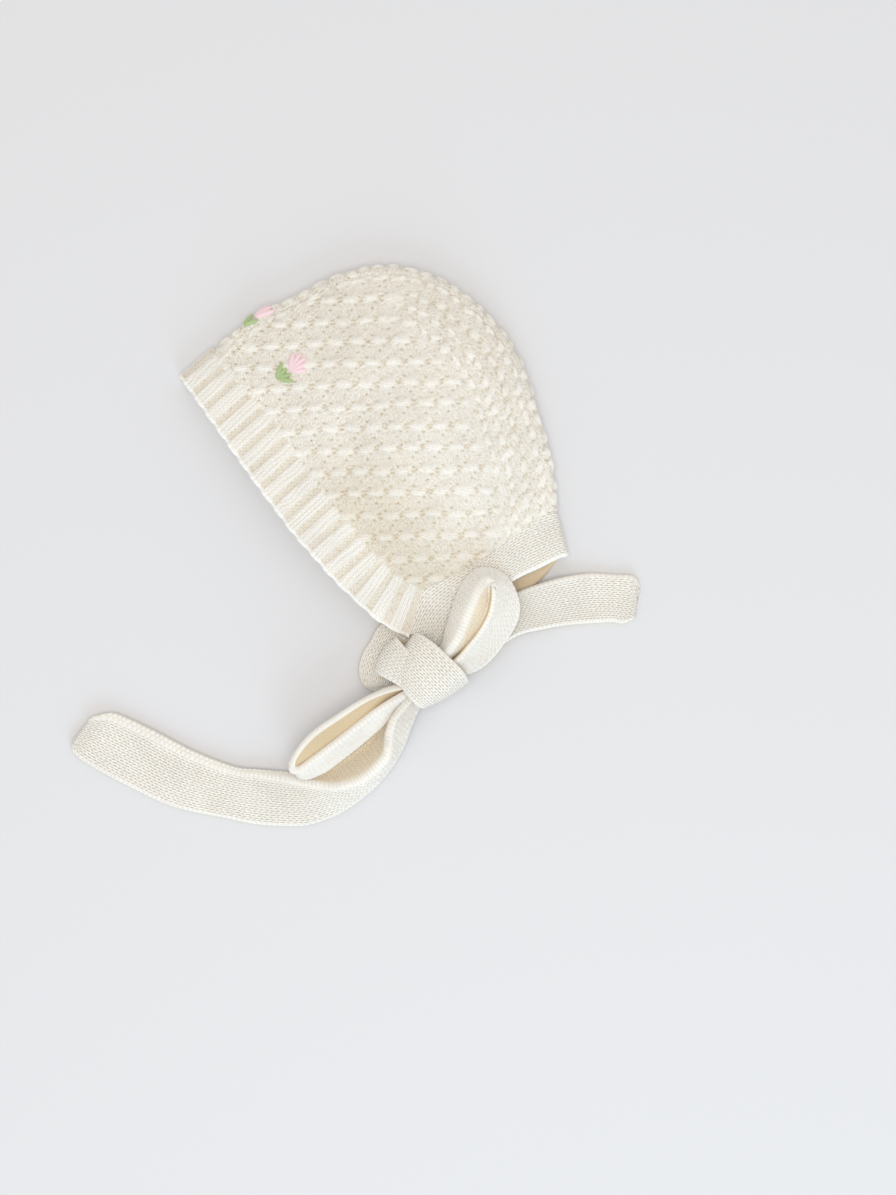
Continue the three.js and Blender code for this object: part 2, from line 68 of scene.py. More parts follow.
coarser = 1.0   # mesh spacing while only the shape is looked at

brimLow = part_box("brim")[0]
corner = np.array([brimLow[0] * 1000, brimLow[1] * 1000 + hood["brimBow"], 0.0])


def toPart(points):
    return (np.asarray(points, float) + corner) / 1000


def through(points, count, spread=None):
    # a smooth curve through given points, at count even steps (or at the shares in spread)
    p = np.asarray(points, float)
    p = p if p.ndim == 2 else p[:, None]
    t = np.concatenate([[0], np.cumsum(np.sqrt(np.linalg.norm(np.diff(p, axis=0), axis=1)) + 1e-9)])
    slope = np.gradient(p, t, axis=0)
    fineT = np.linspace(0, t[-1], 60 * len(p))
    k = np.clip(np.searchsorted(t, fineT, side="right") - 1, 0, len(t) - 2)
    h = (t[k + 1] - t[k])[:, None]
    f = ((fineT - t[k]) / h[:, 0])[:, None]
    path = ((2 * f**3 - 3 * f**2 + 1) * p[k] + (f**3 - 2 * f**2 + f) * h * slope[k]
            + (3 * f**2 - 2 * f**3) * p[k + 1] + (f**3 - f**2) * h * slope[k + 1])
    run = np.concatenate([[0], np.cumsum(np.linalg.norm(np.diff(path[:, :3], axis=0), axis=1))])
    shares = np.linspace(0, 1, count) if spread is None else np.asarray(spread)
    return np.stack([np.interp(shares * run[-1], run, path[:, c]) for c in range(path.shape[1])], axis=1)


def smoothstep(low, high, value):
    t = np.clip((value - low) / (high - low), 0, 1)
    return t * t * (3 - 2 * t)


def tableAt(table, x, column):
    rows = np.asarray(table, float)
    k = np.clip(np.searchsorted(rows[:, 0], x, side="right") - 1, 0, len(rows) - 2)
    t = np.clip((x - rows[k, 0]) / (rows[k + 1, 0] - rows[k, 0]), 0, 1)
    return rows[k, column] + (rows[k + 1, column] - rows[k, column]) * t * t * (3 - 2 * t)


foldLine = through(hood["foldEdge"], 260)


def inwardFrom(outline):
    # unit steps from each point of the folded edge into the hood
    tangent = np.gradient(outline, axis=0)
    tangent /= np.linalg.norm(tangent, axis=1, keepdims=True)
    return np.stack([tangent[:, 1], -tangent[:, 0]], axis=1)


def foldDistance(x, y):
    # distance in plan to the folded edge
    flat = np.stack([np.ravel(x), np.ravel(y)], axis=1)
    best = np.full(len(flat), 1e9)
    ends = np.vstack([[0, -40], foldLine])
    for a, b in zip(ends[:-1], ends[1:]):
        along = b - a
        t = np.clip(((flat - a) @ along) / (along @ along), 0, 1)
        best = np.minimum(best, np.hypot(*(flat - a - t[:, None] * along).T))
    return best.reshape(np.shape(x))


def layHeight(x, y):
    # outside of the upper layer, away from the round of the fold
    near = np.interp(x, *zip(*hood["faceEdge"]))
    far = np.interp(x, *zip(*hood["foldEdge"][1:]))
    depth = np.clip((y - near) / np.maximum(far - near, 1) / hood["middleFrom"], 0, 1)
    face = tableAt(hood["heights"], x, 1)
    opened = face + (tableAt(hood["heights"], x, 2) - face) * np.sin(depth * math.pi / 2) ** 2
    rise = 1 - np.exp(-foldDistance(x, y) / hood["puff"])
    return 2 * hood["foldRadius"] + (opened - 2 * hood["foldRadius"]) * rise


def upperTop(x, y):
    r = hood["foldRadius"]
    inside = np.clip(foldDistance(x, y) / r, 0, 1)
    return r + (layHeight(x, y) - r) * np.sqrt(1 - (1 - inside) ** 2)


rng = np.random.default_rng(11)
wanderGrid = rng.uniform(-1, 1, (64, 64))


def wander(x, y, size, seed=0):
    # smooth seeded unevenness, -1 to 1, over patches of this size
    gx, gy = x / size + seed * 7.31 + 400, y / size + seed * 3.77 + 400
    ix, iy = np.floor(gx).astype(int), np.floor(gy).astype(int)
    fx, fy = smoothstep(0, 1, gx - ix), smoothstep(0, 1, gy - iy)
    g = lambda a, b: wanderGrid[a % 64, b % 64]
    low = g(ix, iy) * (1 - fx) + g(ix + 1, iy) * fx
    high = g(ix, iy + 1) * (1 - fx) + g(ix + 1, iy + 1) * fx
    return low * (1 - fy) + high * fy


# Knit structures: each gives a height in millimetres and the painted shade of its hollows, from 0 to 1.

def columnRidge(p):
    # 1 along each leg of a column of V stitches, 0 at the column's middle and sides
    leg = np.abs(p - np.floor(p) - 0.5) * 2
    return 1 - np.abs(2 * leg - 1) ** 2


def brickBumps(p, q):
    # short bumps in brick order, as on the back of plain knitting
    brick = 0.5 + 0.5 * np.cos(2 * math.pi * (p + 0.5 * (np.floor(q) % 2)))
    return brick * np.abs(np.sin(math.pi * q))


def plainKnit(across, along):
    # V stitches: the columns' low relief, with painted shade at the columns' middles and sides and some
    # random tone; their legs, and the painted shade between them, are in the material
    ridge = columnRidge(across / stitch["column"])
    height = stitch["plainRelief"] * (0.5 + 0.3 * ridge)
    return height, 0.10 + 0.06 * (1 - ridge) + 0.05 * wander(across, along, 6, 50)


def ribKnit(x, depth):
    # three raised columns, two sunk ones
    f = (x / stitch["rib"]) % 1 * 5
    raised = smoothstep(0.7, 1.3, f) * (1 - smoothstep(3.8, 4.4, f))
    ridge = columnRidge(f)
    bump = brickBumps(f, 2 * (depth / stitch["ribRow"] + 0.12 * wander(x, depth, 5, 51)))
    height = raised * (0.70 + 0.30 * ridge) + (1 - raised) * 0.4 * bump
    # painted shade at the raised columns' middles and sides, and more in the sunk columns, less on their
    # bumps
    hollow = raised * (0.10 + 0.55 * (1 - ridge) ** 2) + (1 - raised) * (0.66 - 0.40 * bump)
    return height, np.clip(hollow, 0, 1), raised


cluster = {
    "along": (6.4, 7.9), "next": (-5.6, 9.1),   # from one puff to the next in its row, and to the next row
    "first": (85.0, 61.0),                      # a puff's middle
    "drift": 0.7, "patch": 9, "loose": 0.5,     # how far rows wander, over what length, and single puffs
    "pitch": 10.17,                             # the pitch that all the sizes below are for
    "lens": (4.1, 2.0), "spread": 0.22,         # half sizes of a puff, and how much they vary
    "rise": 1.2, "wrap": 1.15,                  # its height, and the step of the strands round it
    "fan": (0.5, 5.2, 3.9),                     # strands: from and to this far off a row, this many wide
    "loop": (2.5, 2.2),                         # small loops between the fans
    "hole": (0.75, 0.5, 0.6),                   # half sizes and depth of a pinhole
    "holes": [(4.5, 0.8), (-4.4, 0.9), (4.6, -0.7), (-4.7, -0.8), (2.4, -2.2), (-2.6, 2.3), (0.2, -4.7)],
}
backOfHead = {"pitch": 7.6, "row": 6.6, "shift": 3.8, "drift": 1.6, "patch": 7, "loose": 1.2}


def starCells(h, v, pitch, rowStep, shift, loose):
    # gathered puffs in rows: strands fan out of each, small loops and pinholes between
    q = np.round(v / rowStep)
    h, v = h - q * shift, v - q * rowStep
    p = np.round(h / pitch)
    h = h - p * pitch
    seedP, seedQ = p * 3.7, q * 5.3
    h = h + loose * 0.8 * wander(seedP, seedQ, 1, 60)
    v = v + loose * 0.8 * wander(seedP, seedQ, 1, 61)
    size = pitch / cluster["pitch"]
    h, v = h / size, v / size
    full = 1 + cluster["spread"] * wander(seedP, seedQ, 1, 63)
    lensH, lensV = cluster["lens"][0] * full, cluster["lens"][1] * full
    lens = np.exp(-((np.abs(h) / lensH) ** 2.6 + (np.abs(v) / lensV) ** 2.2))
    turns = (v + 0.16 * h) / cluster["wrap"] + 0.3 * wander(h, v, 2.4, 64)
    wrap = 0.5 + 0.5 * np.cos(2 * math.pi * turns)
    t = np.clip((np.abs(v) - 1.0) / 3.6, 0, 1)   # the strands spread from the puff outwards
    k = h / (0.72 + 0.80 * t) + 0.35 * wander(h, v, 3, 62)
    strand = 0.5 + 0.5 * np.cos(2 * math.pi * k)
    fanFrom, fanTo, fanWide = cluster["fan"]
    fan = (smoothstep(fanFrom, fanFrom + 1, np.abs(v)) * smoothstep(fanTo, fanTo - 1.2, np.abs(v))
           * smoothstep(fanWide, fanWide - 0.9, np.abs(k)))
    loopH, loopV = cluster["loop"]
    loops = (np.sin(2 * math.pi * h / loopH + 2.2 * wander(h + seedP, v, 3.1, 4))
             * np.sin(2 * math.pi * v / loopV + 2.2 * wander(h, v + seedQ, 3.1, 5)))
    holeH, holeV, holeDepth = cluster["hole"]
    hole = np.zeros_like(h)
    for n, (hh, hv) in enumerate(cluster["holes"]):
        jh = hh + 0.5 * wander(seedP, seedQ, 1, 6 + n)
        jv = hv + 0.5 * wander(seedP, seedQ, 1, 16 + n)
        hole = np.maximum(hole, np.exp(-(((h - jh) / holeH) ** 2 + ((v - jv) / holeV) ** 2)))
    fanHeight = (0.95 - 0.45 * t) * (0.30 + 0.70 * strand)
    base = 0.30 + 0.42 * loops
    height = base * (1 - fan) + fan * fanHeight
    height = np.maximum(height, lens * (cluster["rise"] + 0.22 * wrap)) - holeDepth * hole
    # painted shade: in the low parts of the small loops, between the fanned strands, between the turns round
    # each puff, and in the pinholes
    soft = 0.30 - 0.24 * loops
    hollow = soft * (1 - fan) + fan * (0.10 + (0.42 - 0.12 * t) * (1 - strand))
    hollow = hollow * (1 - lens) ** 1.1 + (0.36 * (1 - wrap) - 0.06) * lens
    return height, np.clip(hollow + 0.52 * hole, 0, 1)


def clusterKnit(x, y):
    # the crown's pattern, its rows slanting across the hood
    wx = x + cluster["drift"] * wander(x, y, cluster["patch"], 1)
    wy = y + cluster["drift"] * wander(x, y, cluster["patch"], 2)
    a, b = np.array(cluster["along"]), np.array(cluster["next"])
    pitch = math.hypot(*a)
    unit = a / pitch
    dx, dy = wx - cluster["first"][0], wy - cluster["first"][1]
    h, v = dx * unit[0] + dy * unit[1], -dx * unit[1] + dy * unit[0]
    rowStep, shift = float(b @ (-unit[1], unit[0])), float(b @ unit)
    return starCells(h, v, pitch, rowStep, shift, cluster["loose"])


def backKnit(run, depth):
    # the back of the head: the same pattern, smaller, looser and in rows along the fold
    b = backOfHead
    wr = run + b["drift"] * wander(run, depth, b["patch"], 70)
    wd = depth + b["drift"] * wander(run, depth, b["patch"], 71)
    return starCells(wr, wd, b["pitch"], b["row"], b["shift"], b["loose"])


def selvedge(across, width, along, bead, reach):
    # the rounded edge stitches: how near the edge is, and 1 on the middle of each bead
    edge = np.minimum(across, width - across)
    near = np.exp(-((edge / reach) ** 4))
    beads = np.abs(np.sin(math.pi * along / bead)) ** 0.7
    return near, beads


def sheetObject(name, mid, thickness, outer, inner, hollowOuter, hollowInner, stitches, stride=1, rim=1.3,
                insideShade=0.0, liningShade=1.0, plain=0.0, creviceShade=0.0):
    # a closed knitted wall about the surface mid, which is a grid of points (along, across); its inner
    # side has only each stride-th point. The two values after outer and inner give each side painted shade
    # in its hollows. From 0 to 1, the last four: painted shade on the outer and on the inner side where it
    # is the inside of a tie; how much the V stitches show, as relief and as painted shade between their
    # legs; painted shade as specks in the small crevices
    thin, lowest = 0.14, 0.05   # share of the thickness left at the very edge; just clear of the floor
    ns, nw = mid.shape[:2]
    di, dj = np.gradient(mid, axis=0), np.gradient(mid, axis=1)
    normal = np.cross(di, dj)
    normal /= np.maximum(np.linalg.norm(normal, axis=2, keepdims=True), 1e-9)
    acrossSteps = np.linalg.norm(np.diff(mid, axis=1), axis=2)
    alongSteps = np.linalg.norm(np.diff(mid, axis=0), axis=2)
    acrossRun = np.concatenate([np.zeros((ns, 1)), np.cumsum(acrossSteps, axis=1)], axis=1)
    alongRun = np.concatenate([np.zeros((1, nw)), np.cumsum(alongSteps, axis=0)], axis=0)
    edge = np.minimum.reduce([acrossRun, acrossRun[:, -1:] - acrossRun, alongRun, alongRun[-1:] - alongRun])
    rounded = np.sqrt(1 - (1 - np.clip(edge / rim, 0, 1)) ** 2) * (1 - thin) + thin
    top = mid + normal * (rounded * (thickness / 2 + outer))[..., None]
    low = mid - normal * (rounded * (thickness / 2 + inner))[..., None]
    low = low[::stride, ::stride]
    top[..., 2] = np.maximum(top[..., 2], lowest)
    low[..., 2] = np.maximum(low[..., 2], lowest)
    ms, mw = low.shape[:2]
    points = toPart(np.concatenate([top.reshape(-1, 3), low.reshape(-1, 3)]))
    topId = np.arange(ns * nw).reshape(ns, nw)
    lowId = np.arange(ms * mw).reshape(ms, mw) + ns * nw
    upper = np.stack([topId[:-1, :-1], topId[1:, :-1], topId[1:, 1:], topId[:-1, 1:]], -1).reshape(-1, 4)
    lower = np.stack([lowId[:-1, :-1], lowId[:-1, 1:], lowId[1:, 1:], lowId[1:, :-1]], -1).reshape(-1, 4)
    border = []   # joins the two sides along all four edges
    for m in range(ms - 1):
        a = m * stride
        rising = [topId[a + c, -1] for c in range(stride + 1)]
        falling = [topId[a + c, 0] for c in range(stride, 0, -1)]
        border.append([topId[a, 0], lowId[m, 0], lowId[m + 1, 0], *falling])
        border.append([*rising, lowId[m + 1, -1], lowId[m, -1]])
    for m in range(mw - 1):
        a = m * stride
        rising = [topId[0, a + c] for c in range(stride + 1)]
        falling = [topId[-1, a + c] for c in range(stride, 0, -1)]
        border.append([*rising, lowId[0, m + 1], lowId[0, m]])
        border.append([topId[-1, a], lowId[-1, m], lowId[-1, m + 1], *falling])
    faces = [*upper.tolist(), *lower.tolist(), *[[int(v) for v in f] for f in border]]
    mesh = bpy.data.meshes.new(name)
    mesh.from_pydata(points.tolist(), [], faces)
    mesh.update()
    mesh.shade_smooth()
    blank = np.zeros((ns, nw))

    def bothSides(over, under):
        return np.concatenate([(blank + over).ravel(), (blank + under)[::stride, ::stride].ravel()])

    fields = {"hollow": bothSides(hollowOuter, hollowInner), "creviceShade": bothSides(creviceShade, 0),
              "plain": bothSides(plain, 0), "inside": bothSides(insideShade, liningShade)}
    for field, values in fields.items():
        mesh.attributes.new(field, "FLOAT", "POINT").data.foreach_set("value", values.astype(np.float32))
    uv = np.stack([bothSides(run, run) for run in stitches], axis=1) / 1000
    corners = np.empty(len(mesh.loops), np.int32)
    mesh.loops.foreach_get("vertex_index", corners)
    mesh.uv_layers.new(name="knitUv").data.foreach_set("uv", uv[corners].astype(np.float32).ravel())
    piece = bpy.data.objects.new(name, mesh)
    bpy.context.collection.objects.link(piece)
    return piece


def gridSize(length, spacing, stride=1):
    # how many points go along a length, so that stride divides its steps
    steps = max(2, int(round(length / (spacing * coarser) / stride))) * stride
    return steps + 1


tie = {
    "wall": 2.6, "spacing": 0.4,
    "bead": 2.1, "beadReach": 1.5,             # edge stitches: their length and how far in they reach
    "ridge": (1.9, 1.7),                       # how steeply a ridge rises from edge a and falls to edge b
    "ridgeStitch": 1.7, "ridgeWidth": 0.9,     # the width is in columns
    "rollReach": 4.2, "rollStitch": (2.5, 2.1),
}


def tieGrid(rows, columns, stride):
    # the middle surface of a tie through its sections, with its run and its share across
    table = np.array(rows, float)   # edge a, edge b, bow, ridge, where the ridge is across
    centre = (table[:, :3] + table[:, 3:6]) / 2
    packed = np.hstack([centre, table])
    length = np.linalg.norm(np.diff(through(centre, 200), axis=0), axis=1).sum()
    ns = gridSize(length, tie["spacing"], stride)
    cells = stitch["across"]
    nw = columns * cells // stride * stride + 1
    s = through(packed, ns)[:, 3:]
    w = np.linspace(0, 1, nw)[None, :, None]
    a, b = s[:, None, :3], s[:, None, 3:6]
    mid = a * (1 - w) + b * w
    chord = np.gradient(mid, axis=0)
    normal = np.cross(chord, b - a + np.zeros_like(mid))
    normal /= np.maximum(np.linalg.norm(normal, axis=2, keepdims=True), 1e-9)
    w2 = w[..., 0]
    mid = mid + normal * (s[:, None, 6] * 4 * w2 * (1 - w2))[..., None]
    at = np.clip(s[:, None, 8], 0.02, 0.98)
    rising = np.clip(w2 / at, 0, 1) ** tie["ridge"][0]
    falling = 1 - (1 - np.clip((1 - w2) / (1 - at), 0, 1)) ** tie["ridge"][1]
    mid[..., 2] += s[:, None, 7] * np.where(w2 < at, rising, falling)
    run = np.concatenate([[0], np.cumsum(np.linalg.norm(np.diff(mid[:, nw // 2], axis=0), axis=1))])
    blank = np.zeros((ns, nw))
    crest = np.exp(-(((w2 - at) * columns / tie["ridgeWidth"]) ** 2)) * smoothstep(2, 5, s[:, None, 7])
    # painted shade for the trough beside a ridge, on the side that faces the loop
    troughShade = smoothstep(at + 0.2 / columns, at - 0.7 / columns, w2 + blank)
    troughShade = troughShade * smoothstep(4, 8, s[:, None, 7])   # the side that faces the loop
    return mid, run[:, None] + blank, w2 + blank, crest, troughShade


def tieObject(name, rows, columns=11, stride=1, roll=0.0, rollLast=False, rollUntil=1.0,
              purlInside=False, legWeight=1.0):
    # roll lifts edge a, or edge b with rollLast, up to the share rollUntil of the length
    mid, run, share, crest, troughShade = tieGrid(rows, columns, stride)
    width = columns * stitch["column"]
    across = share * width
    depth = width - across if rollLast else across
    height, hollow = plainKnit(across, run)
    near, beads = selvedge(across, width, run, tie["bead"], tie["beadReach"])
    height = height * (1 - near) + near * (0.15 + 0.35 * beads)
    hollow = hollow * (1 - near) + near * (0.16 + 0.35 * (1 - beads))
    rolled = np.zeros_like(height)
    if roll:
        # an edge rolled over, with large stitches along it, little painted shade on them
        rollAlong, rollAcross = tie["rollStitch"]
        rolled = np.exp(-((depth / tie["rollReach"]) ** 4))
        rolled = rolled * smoothstep(rollUntil + 0.08, rollUntil - 0.04, run / run.max())
        step = run / rollAlong + 0.5 * np.floor(depth / rollAcross) + 0.3 * wander(across, run, 4, 80)
        beside = np.abs(np.sin(math.pi * depth / rollAcross))
        big = np.abs(np.sin(math.pi * step)) ** 0.8 * (0.5 + 0.5 * beside)
        height = height * (1 - rolled) + rolled * (roll + 0.6 * big)
        hollow = hollow * (1 - rolled) + rolled * (0.12 + 0.4 * (1 - big))
    step = run / tie["ridgeStitch"] + 0.3 * wander(across, run, 5, 81)
    big = np.abs(np.sin(math.pi * step)) ** 0.8
    height = height * (1 - crest) + crest * (0.5 + 0.18 * big)
    hollow = hollow * (1 - crest) + crest * (0.12 + 0.35 * (1 - big))
    plain = legWeight * (1 - near) * (1 - rolled) * (1 - crest)
    # the inner side: painted shade in its hollows, and painted shade all over as the inside of a tie, except
    # on a rolled edge's rim
    backHeight, backShade, liningShade = 0.0, 0.5, 1.0
    if purlInside:
        bump = stitch["purlRelief"] * brickBumps(across / stitch["column"], run / (0.6 * stitch["row"]))
        rim = smoothstep(3.6, 2.6, depth) * bool(roll)
        backHeight = 0.3 * bump + 0.8 * roll * rim
        backShade = (0.90 - 0.3 * bump) * (1 - rim) + (0.14 + 0.2 * (1 - bump)) * rim
        liningShade = 1 - rim
    return sheetObject(name, mid, tie["wall"], height, backHeight, hollow, backShade, (across, run), stride,
                       insideShade=troughShade, plain=plain, liningShade=liningShade)


# The hood.

crown = {
    "size": (200, 104), "farSize": (150, 110),   # along the brim and up from it
    "spacing": (0.53, 0.52), "farSpacing": 1.3, "farWall": 2.6,
    "turn": 24,                              # mesh steps round the fold
    "under": 62,                             # degrees that it goes on under the fold
    "neckEnd": 164.2,                        # where the folded edge meets the neck band
    "tuck": 1.4, "dip": 1.5,                 # how far its first stitches go under the brim, and down
    "backFrom": (33, 25), "groove": 13,      # depth from the fold of the back's pattern, and of its groove
    "hollow": 0.10, "shade": 0.26,           # painted shade all over, and more of it towards the neck
    "creviceShade": 0.26,
}


def crownObject():
    # the near layer of the crown, from the brim over the fold and a little way under
    nu, nv = (gridSize(size, spacing, 4) for size, spacing in zip(crown["size"], crown["spacing"]))
    turn = crown["turn"]
    start = through(hood["ribEnd"], nu, np.linspace(0.004, 1, nu)) - np.array([0, crown["tuck"]])
    outline = foldLine[foldLine[:, 0] < crown["neckEnd"]]
    outline = through(np.vstack([[0, 18.4], outline[2:]]), nu)
    inward = inwardFrom(outline)
    r = hood["foldRadius"]
    share = np.linspace(0, 1, nv)
    flatEnd = outline + inward * r
    plan = start[:, None] * (1 - share)[None, :, None] + flatEnd[:, None] * share[None, :, None]
    u = np.linspace(0, 1, nu)[:, None]
    plan[..., 0] += 1.6 * (4 * share * (1 - share))[None] * smoothstep(0.8, 1, u)
    z = upperTop(plan[..., 0], plan[..., 1])
    angles = np.radians(np.linspace(90, -crown["under"], turn + 1))[1:]
    over = flatEnd[:, None] - inward[:, None] * (r * np.cos(angles))[None, :, None]
    top = z[:, -1][:, None] - r
    overZ = r + np.where(np.sin(angles) > 0, top, r) * np.sin(angles)[None]
    dip = crown["dip"] * smoothstep(0.03, 0, share)[None]
    heights = np.concatenate([z - dip, overZ], axis=1)
    mid = np.concatenate([np.concatenate([plan, over], axis=1), heights[..., None]], axis=2)
    # the wall's middle lies half its thickness inside the outline
    mid[:, :nv, 2] -= hood["wall"] / 2
    mid[:, nv:, :2] = over + inward[:, None] * (hood["wall"] / 2 * np.cos(angles))[None, :, None]
    mid[:, nv:, 2] -= hood["wall"] / 2 * np.sin(angles)[None]
    tuck = 1.6 * smoothstep(0.016, 0.004, u)   # the fold's end goes under the brim too
    mid[:, nv:, :2] += (inward * tuck)[:, None]
    x, y = mid[..., 0], mid[..., 1]
    fromFold = foldDistance(x, y)
    roundStep = math.radians((90 + crown["under"]) / turn)
    fromFold[:, nv:] = fromFold[:, nv - 1:nv] - np.arange(1, turn + 1)[None] * r * roundStep
    run = np.concatenate([[0], np.cumsum(np.linalg.norm(np.diff(outline, axis=0), axis=1))])
    front, frontPatternShade = clusterKnit(x, y)
    rear, rearPatternShade = backKnit(run[:, None] + 0 * x, fromFold)
    back = smoothstep(*crown["backFrom"], fromFold + 4 * wander(x, y, 12, 8)) * smoothstep(34, 50, x)
    edge = smoothstep(8, 5, fromFold)
    blend = np.maximum(back, edge)
    height = front * (1 - blend) + rear * blend
    hollow = frontPatternShade * (1 - blend) + rearPatternShade * blend
    height = height + 0.5 * wander(x, y, 22, 9) * (1 - edge)
    # painted shade: in the pattern's hollows, a little all over, and more towards the neck
    hollow = hollow + crown["hollow"] + crown["shade"] * smoothstep(70, 20, y) * smoothstep(60, 110, x)
    # a shallow groove along the fold, with painted shade in it
    groove = np.exp(-(((fromFold - crown["groove"]) / 2.2) ** 2))
    groove = groove * smoothstep(40, 55, x) * smoothstep(150, 135, x)
    height, hollow = height - 0.6 * groove, np.clip(hollow + 0.08 * groove, 0, 1)
    return sheetObject("crownNear", mid, hood["wall"], height, 0, hollow, 0.6, (x, y), 4, rim=0.8,
                       creviceShade=crown["creviceShade"])


def crownFarObject():
    # the far layer, flat on what the bonnet lies on
    nu, nv = (gridSize(size, crown["farSpacing"]) for size in crown["farSize"])
    start = through(hood["ribEnd"], nu, np.linspace(0.02, 1, nu))
    outline = through(foldLine[foldLine[:, 0] < crown["neckEnd"]][2:], nu)
    inward = inwardFrom(outline)
    share = np.linspace(0, 1, nv)[None, :, None]
    plan = start[:, None] * (1 - share) + (outline + inward * 3.4)[:, None] * share
    mid = np.concatenate([plan, np.full(plan.shape[:2] + (1,), hood["farMiddle"])], axis=2)[:, ::-1]
    x, y = mid[..., 0], mid[..., 1]
    height, hollow = clusterKnit(x, y)
    # painted shade in the hollows, and on the inner side
    return sheetObject("crownFar", mid, crown["farWall"], 0.25 * height.clip(0), 0, hollow, 0.6, (x, y))


def foldedBand(nearA, nearB, farA, farB, axisA, axisB, out, radius):
    # rails of a band that runs along the near layer, round a fold and back along the far layer
    angles = np.radians(np.linspace(80, -80, 7))
    turnA, turnB = [], []
    for t in angles:
        step = np.array(out) * radius * math.cos(t)
        z = hood["foldRadius"] + radius * math.sin(t)
        turnA.append((*(np.array(axisA) + step), z))
        turnB.append((*(np.array(axisB) + step), z))
    return [*nearA, *turnA, *farA], [*nearB, *turnB, *farB]


def railGrid(railA, railB, spacing, farSpacing, nearShare, width, stride):
    # the middle surface between two rails, coarser in the far layer, with its run and share across
    both = np.hstack([np.asarray(railA, float), np.asarray(railB, float)])
    packed = np.hstack([(both[:, :3] + both[:, 3:]) / 2, both])
    path = through(packed[:, :3], 400)
    length = np.linalg.norm(np.diff(path, axis=0), axis=1).sum()
    nearSteps = gridSize(length * nearShare, spacing, stride) - 1
    farSteps = gridSize(length * (1 - nearShare), farSpacing, stride) - 1
    nearShares = np.linspace(0, nearShare, nearSteps + 1)
    shares = np.concatenate([nearShares, np.linspace(nearShare, 1, farSteps + 1)[1:]])
    s = through(packed, len(shares), shares)[:, 3:]
    nw = gridSize(width, spacing, stride)
    w = np.linspace(0, 1, nw)
    mid = s[:, None, :3] * (1 - w)[None, :, None] + s[:, None, 3:] * w[None, :, None]
    blank = np.zeros((len(shares), nw))
    # from rail b to rail a, so that the right side faces up
    return mid[:, ::-1], (shares * length)[:, None] + blank, (w[None] + blank)[:, ::-1]


brim = {
    "wall": 2.4, "foldRadius": 3.2,
    "from": 163, "foldAt": 3.4,              # along x: the knot's end of the face edge, and the fold's axis
    "taperFrom": 120, "upperFrom": 150,      # the edge on the crown's side is drawn in to here
    "near": (158, 0.53),                     # run of the near layer, and its share of the whole
    "wide": 27, "deep": 24, "spacing": (0.377, 1.3),
    "castOn": 1.7, "castOnLoop": 2.36, "scallop": 0.45,
    "legs": 0.35, "creviceShade": 0.3,
}


def brimObject():
    # the ribbed band: near layer, round the forehead fold, far layer
    start, fold, taper = brim["from"], brim["foldAt"], brim["taperFrom"]
    xa = start + (fold - start) * np.linspace(0, 1, 12)
    drawnIn = (brim["upperFrom"] - taper) / (start - taper)
    xb = np.where(xa > taper, taper + (xa - taper) * drawnIn, xa)
    ya = np.interp(xa, *zip(*hood["faceEdge"]))
    yb = np.interp(xb, *zip(*hood["ribEnd"])) + 0.9
    inside, far = hood["wall"] / 2, hood["farMiddle"]
    nearA = [(x, y, upperTop(x, y + 1.5) - inside) for x, y in zip(xa, ya)]
    nearB = [(x, y, upperTop(x, y) - inside - 0.2) for x, y in zip(xb, yb)]
    farA = [(x, y, far) for x, y in zip(xa[::-1], ya[::-1])]
    farB = [(x, y, far) for x, y in zip(xb[::-1], yb[::-1])]
    railA, railB = foldedBand(nearA[:-1], nearB[:-1], farA[1:], farB[1:], (fold, ya[-1]), (fold, yb[-1]),
                              (-1, 0), brim["foldRadius"])
    nearRun, nearShare = brim["near"]
    mid, run, share = railGrid(railA, railB, *brim["spacing"], nearShare, brim["wide"], 3)
    x, depth = mid[..., 0], share * brim["deep"]
    ribX = np.where(run < nearRun, start - run * start / nearRun, run - nearRun)
    ribX = ribX + 0.25 * wander(x, depth, 8, 40)
    height, hollow, raised = ribKnit(ribX, depth)
    castOn = np.exp(-((depth / brim["castOn"]) ** 4))
    loops = np.abs(np.sin(math.pi * ribX / brim["castOnLoop"])) ** 0.6
    height = height * (1 - castOn) + castOn * (0.45 + 0.45 * loops + 0.5 * raised)
    mid[..., 1] += (brim["scallop"] * (1 - raised) - 0.2) * smoothstep(6, 0, depth)
    mid[..., 1] += 1.1 * wander(ribX, depth * 0, 5, 41) * smoothstep(17, 24, depth) * smoothstep(0, 20, run)
    hollow = hollow * (1 - castOn) + castOn * 0.3 * (1 - loops)
    inColumns = (ribX / stitch["rib"] * 5 * stitch["column"], depth * stitch["row"] / stitch["ribRow"])
    # painted shade in the rib's hollows and on the inner side, with specks of it in the sunk columns'
    # crevices
    return sheetObject("brimBand", mid, brim["wall"], height, 0, hollow, 0.6, inColumns, 3,
                       plain=brim["legs"] * raised * (1 - castOn),
                       creviceShade=brim["creviceShade"] * (1 - raised) * (1 - castOn))


neck = {
    "wall": 2.6, "foldRadius": 3.2, "wide": 20, "columns": 10, "nearShare": 0.56,
    "spacing": (0.38, 1.2), "bead": 3.0, "beadReach": 1.6,
    # x and y of the edge on the crown's side and of the free edge, from the knot to the nape
    "near": [((160.5, 1.5), (176.5, 3)), ((156.5, 8), (175.6, 10)), ((151.5, 19), (174.2, 19)),
             ((152.4, 32), (173.6, 32)), ((156, 46), (173.7, 44)), ((157.6, 60), (175.6, 58)),
             ((158.4, 72), (178.4, 67.5))],
    "nape": ((161.2, 88.2), (181.2, 78.4)),
    "far": [((160, 72), (183, 69)), ((157, 50), (183.4, 56)), ((152, 30), (182, 38)),
            ((154, 12), (180, 22)), ((160, 3), (178, 5))],
}


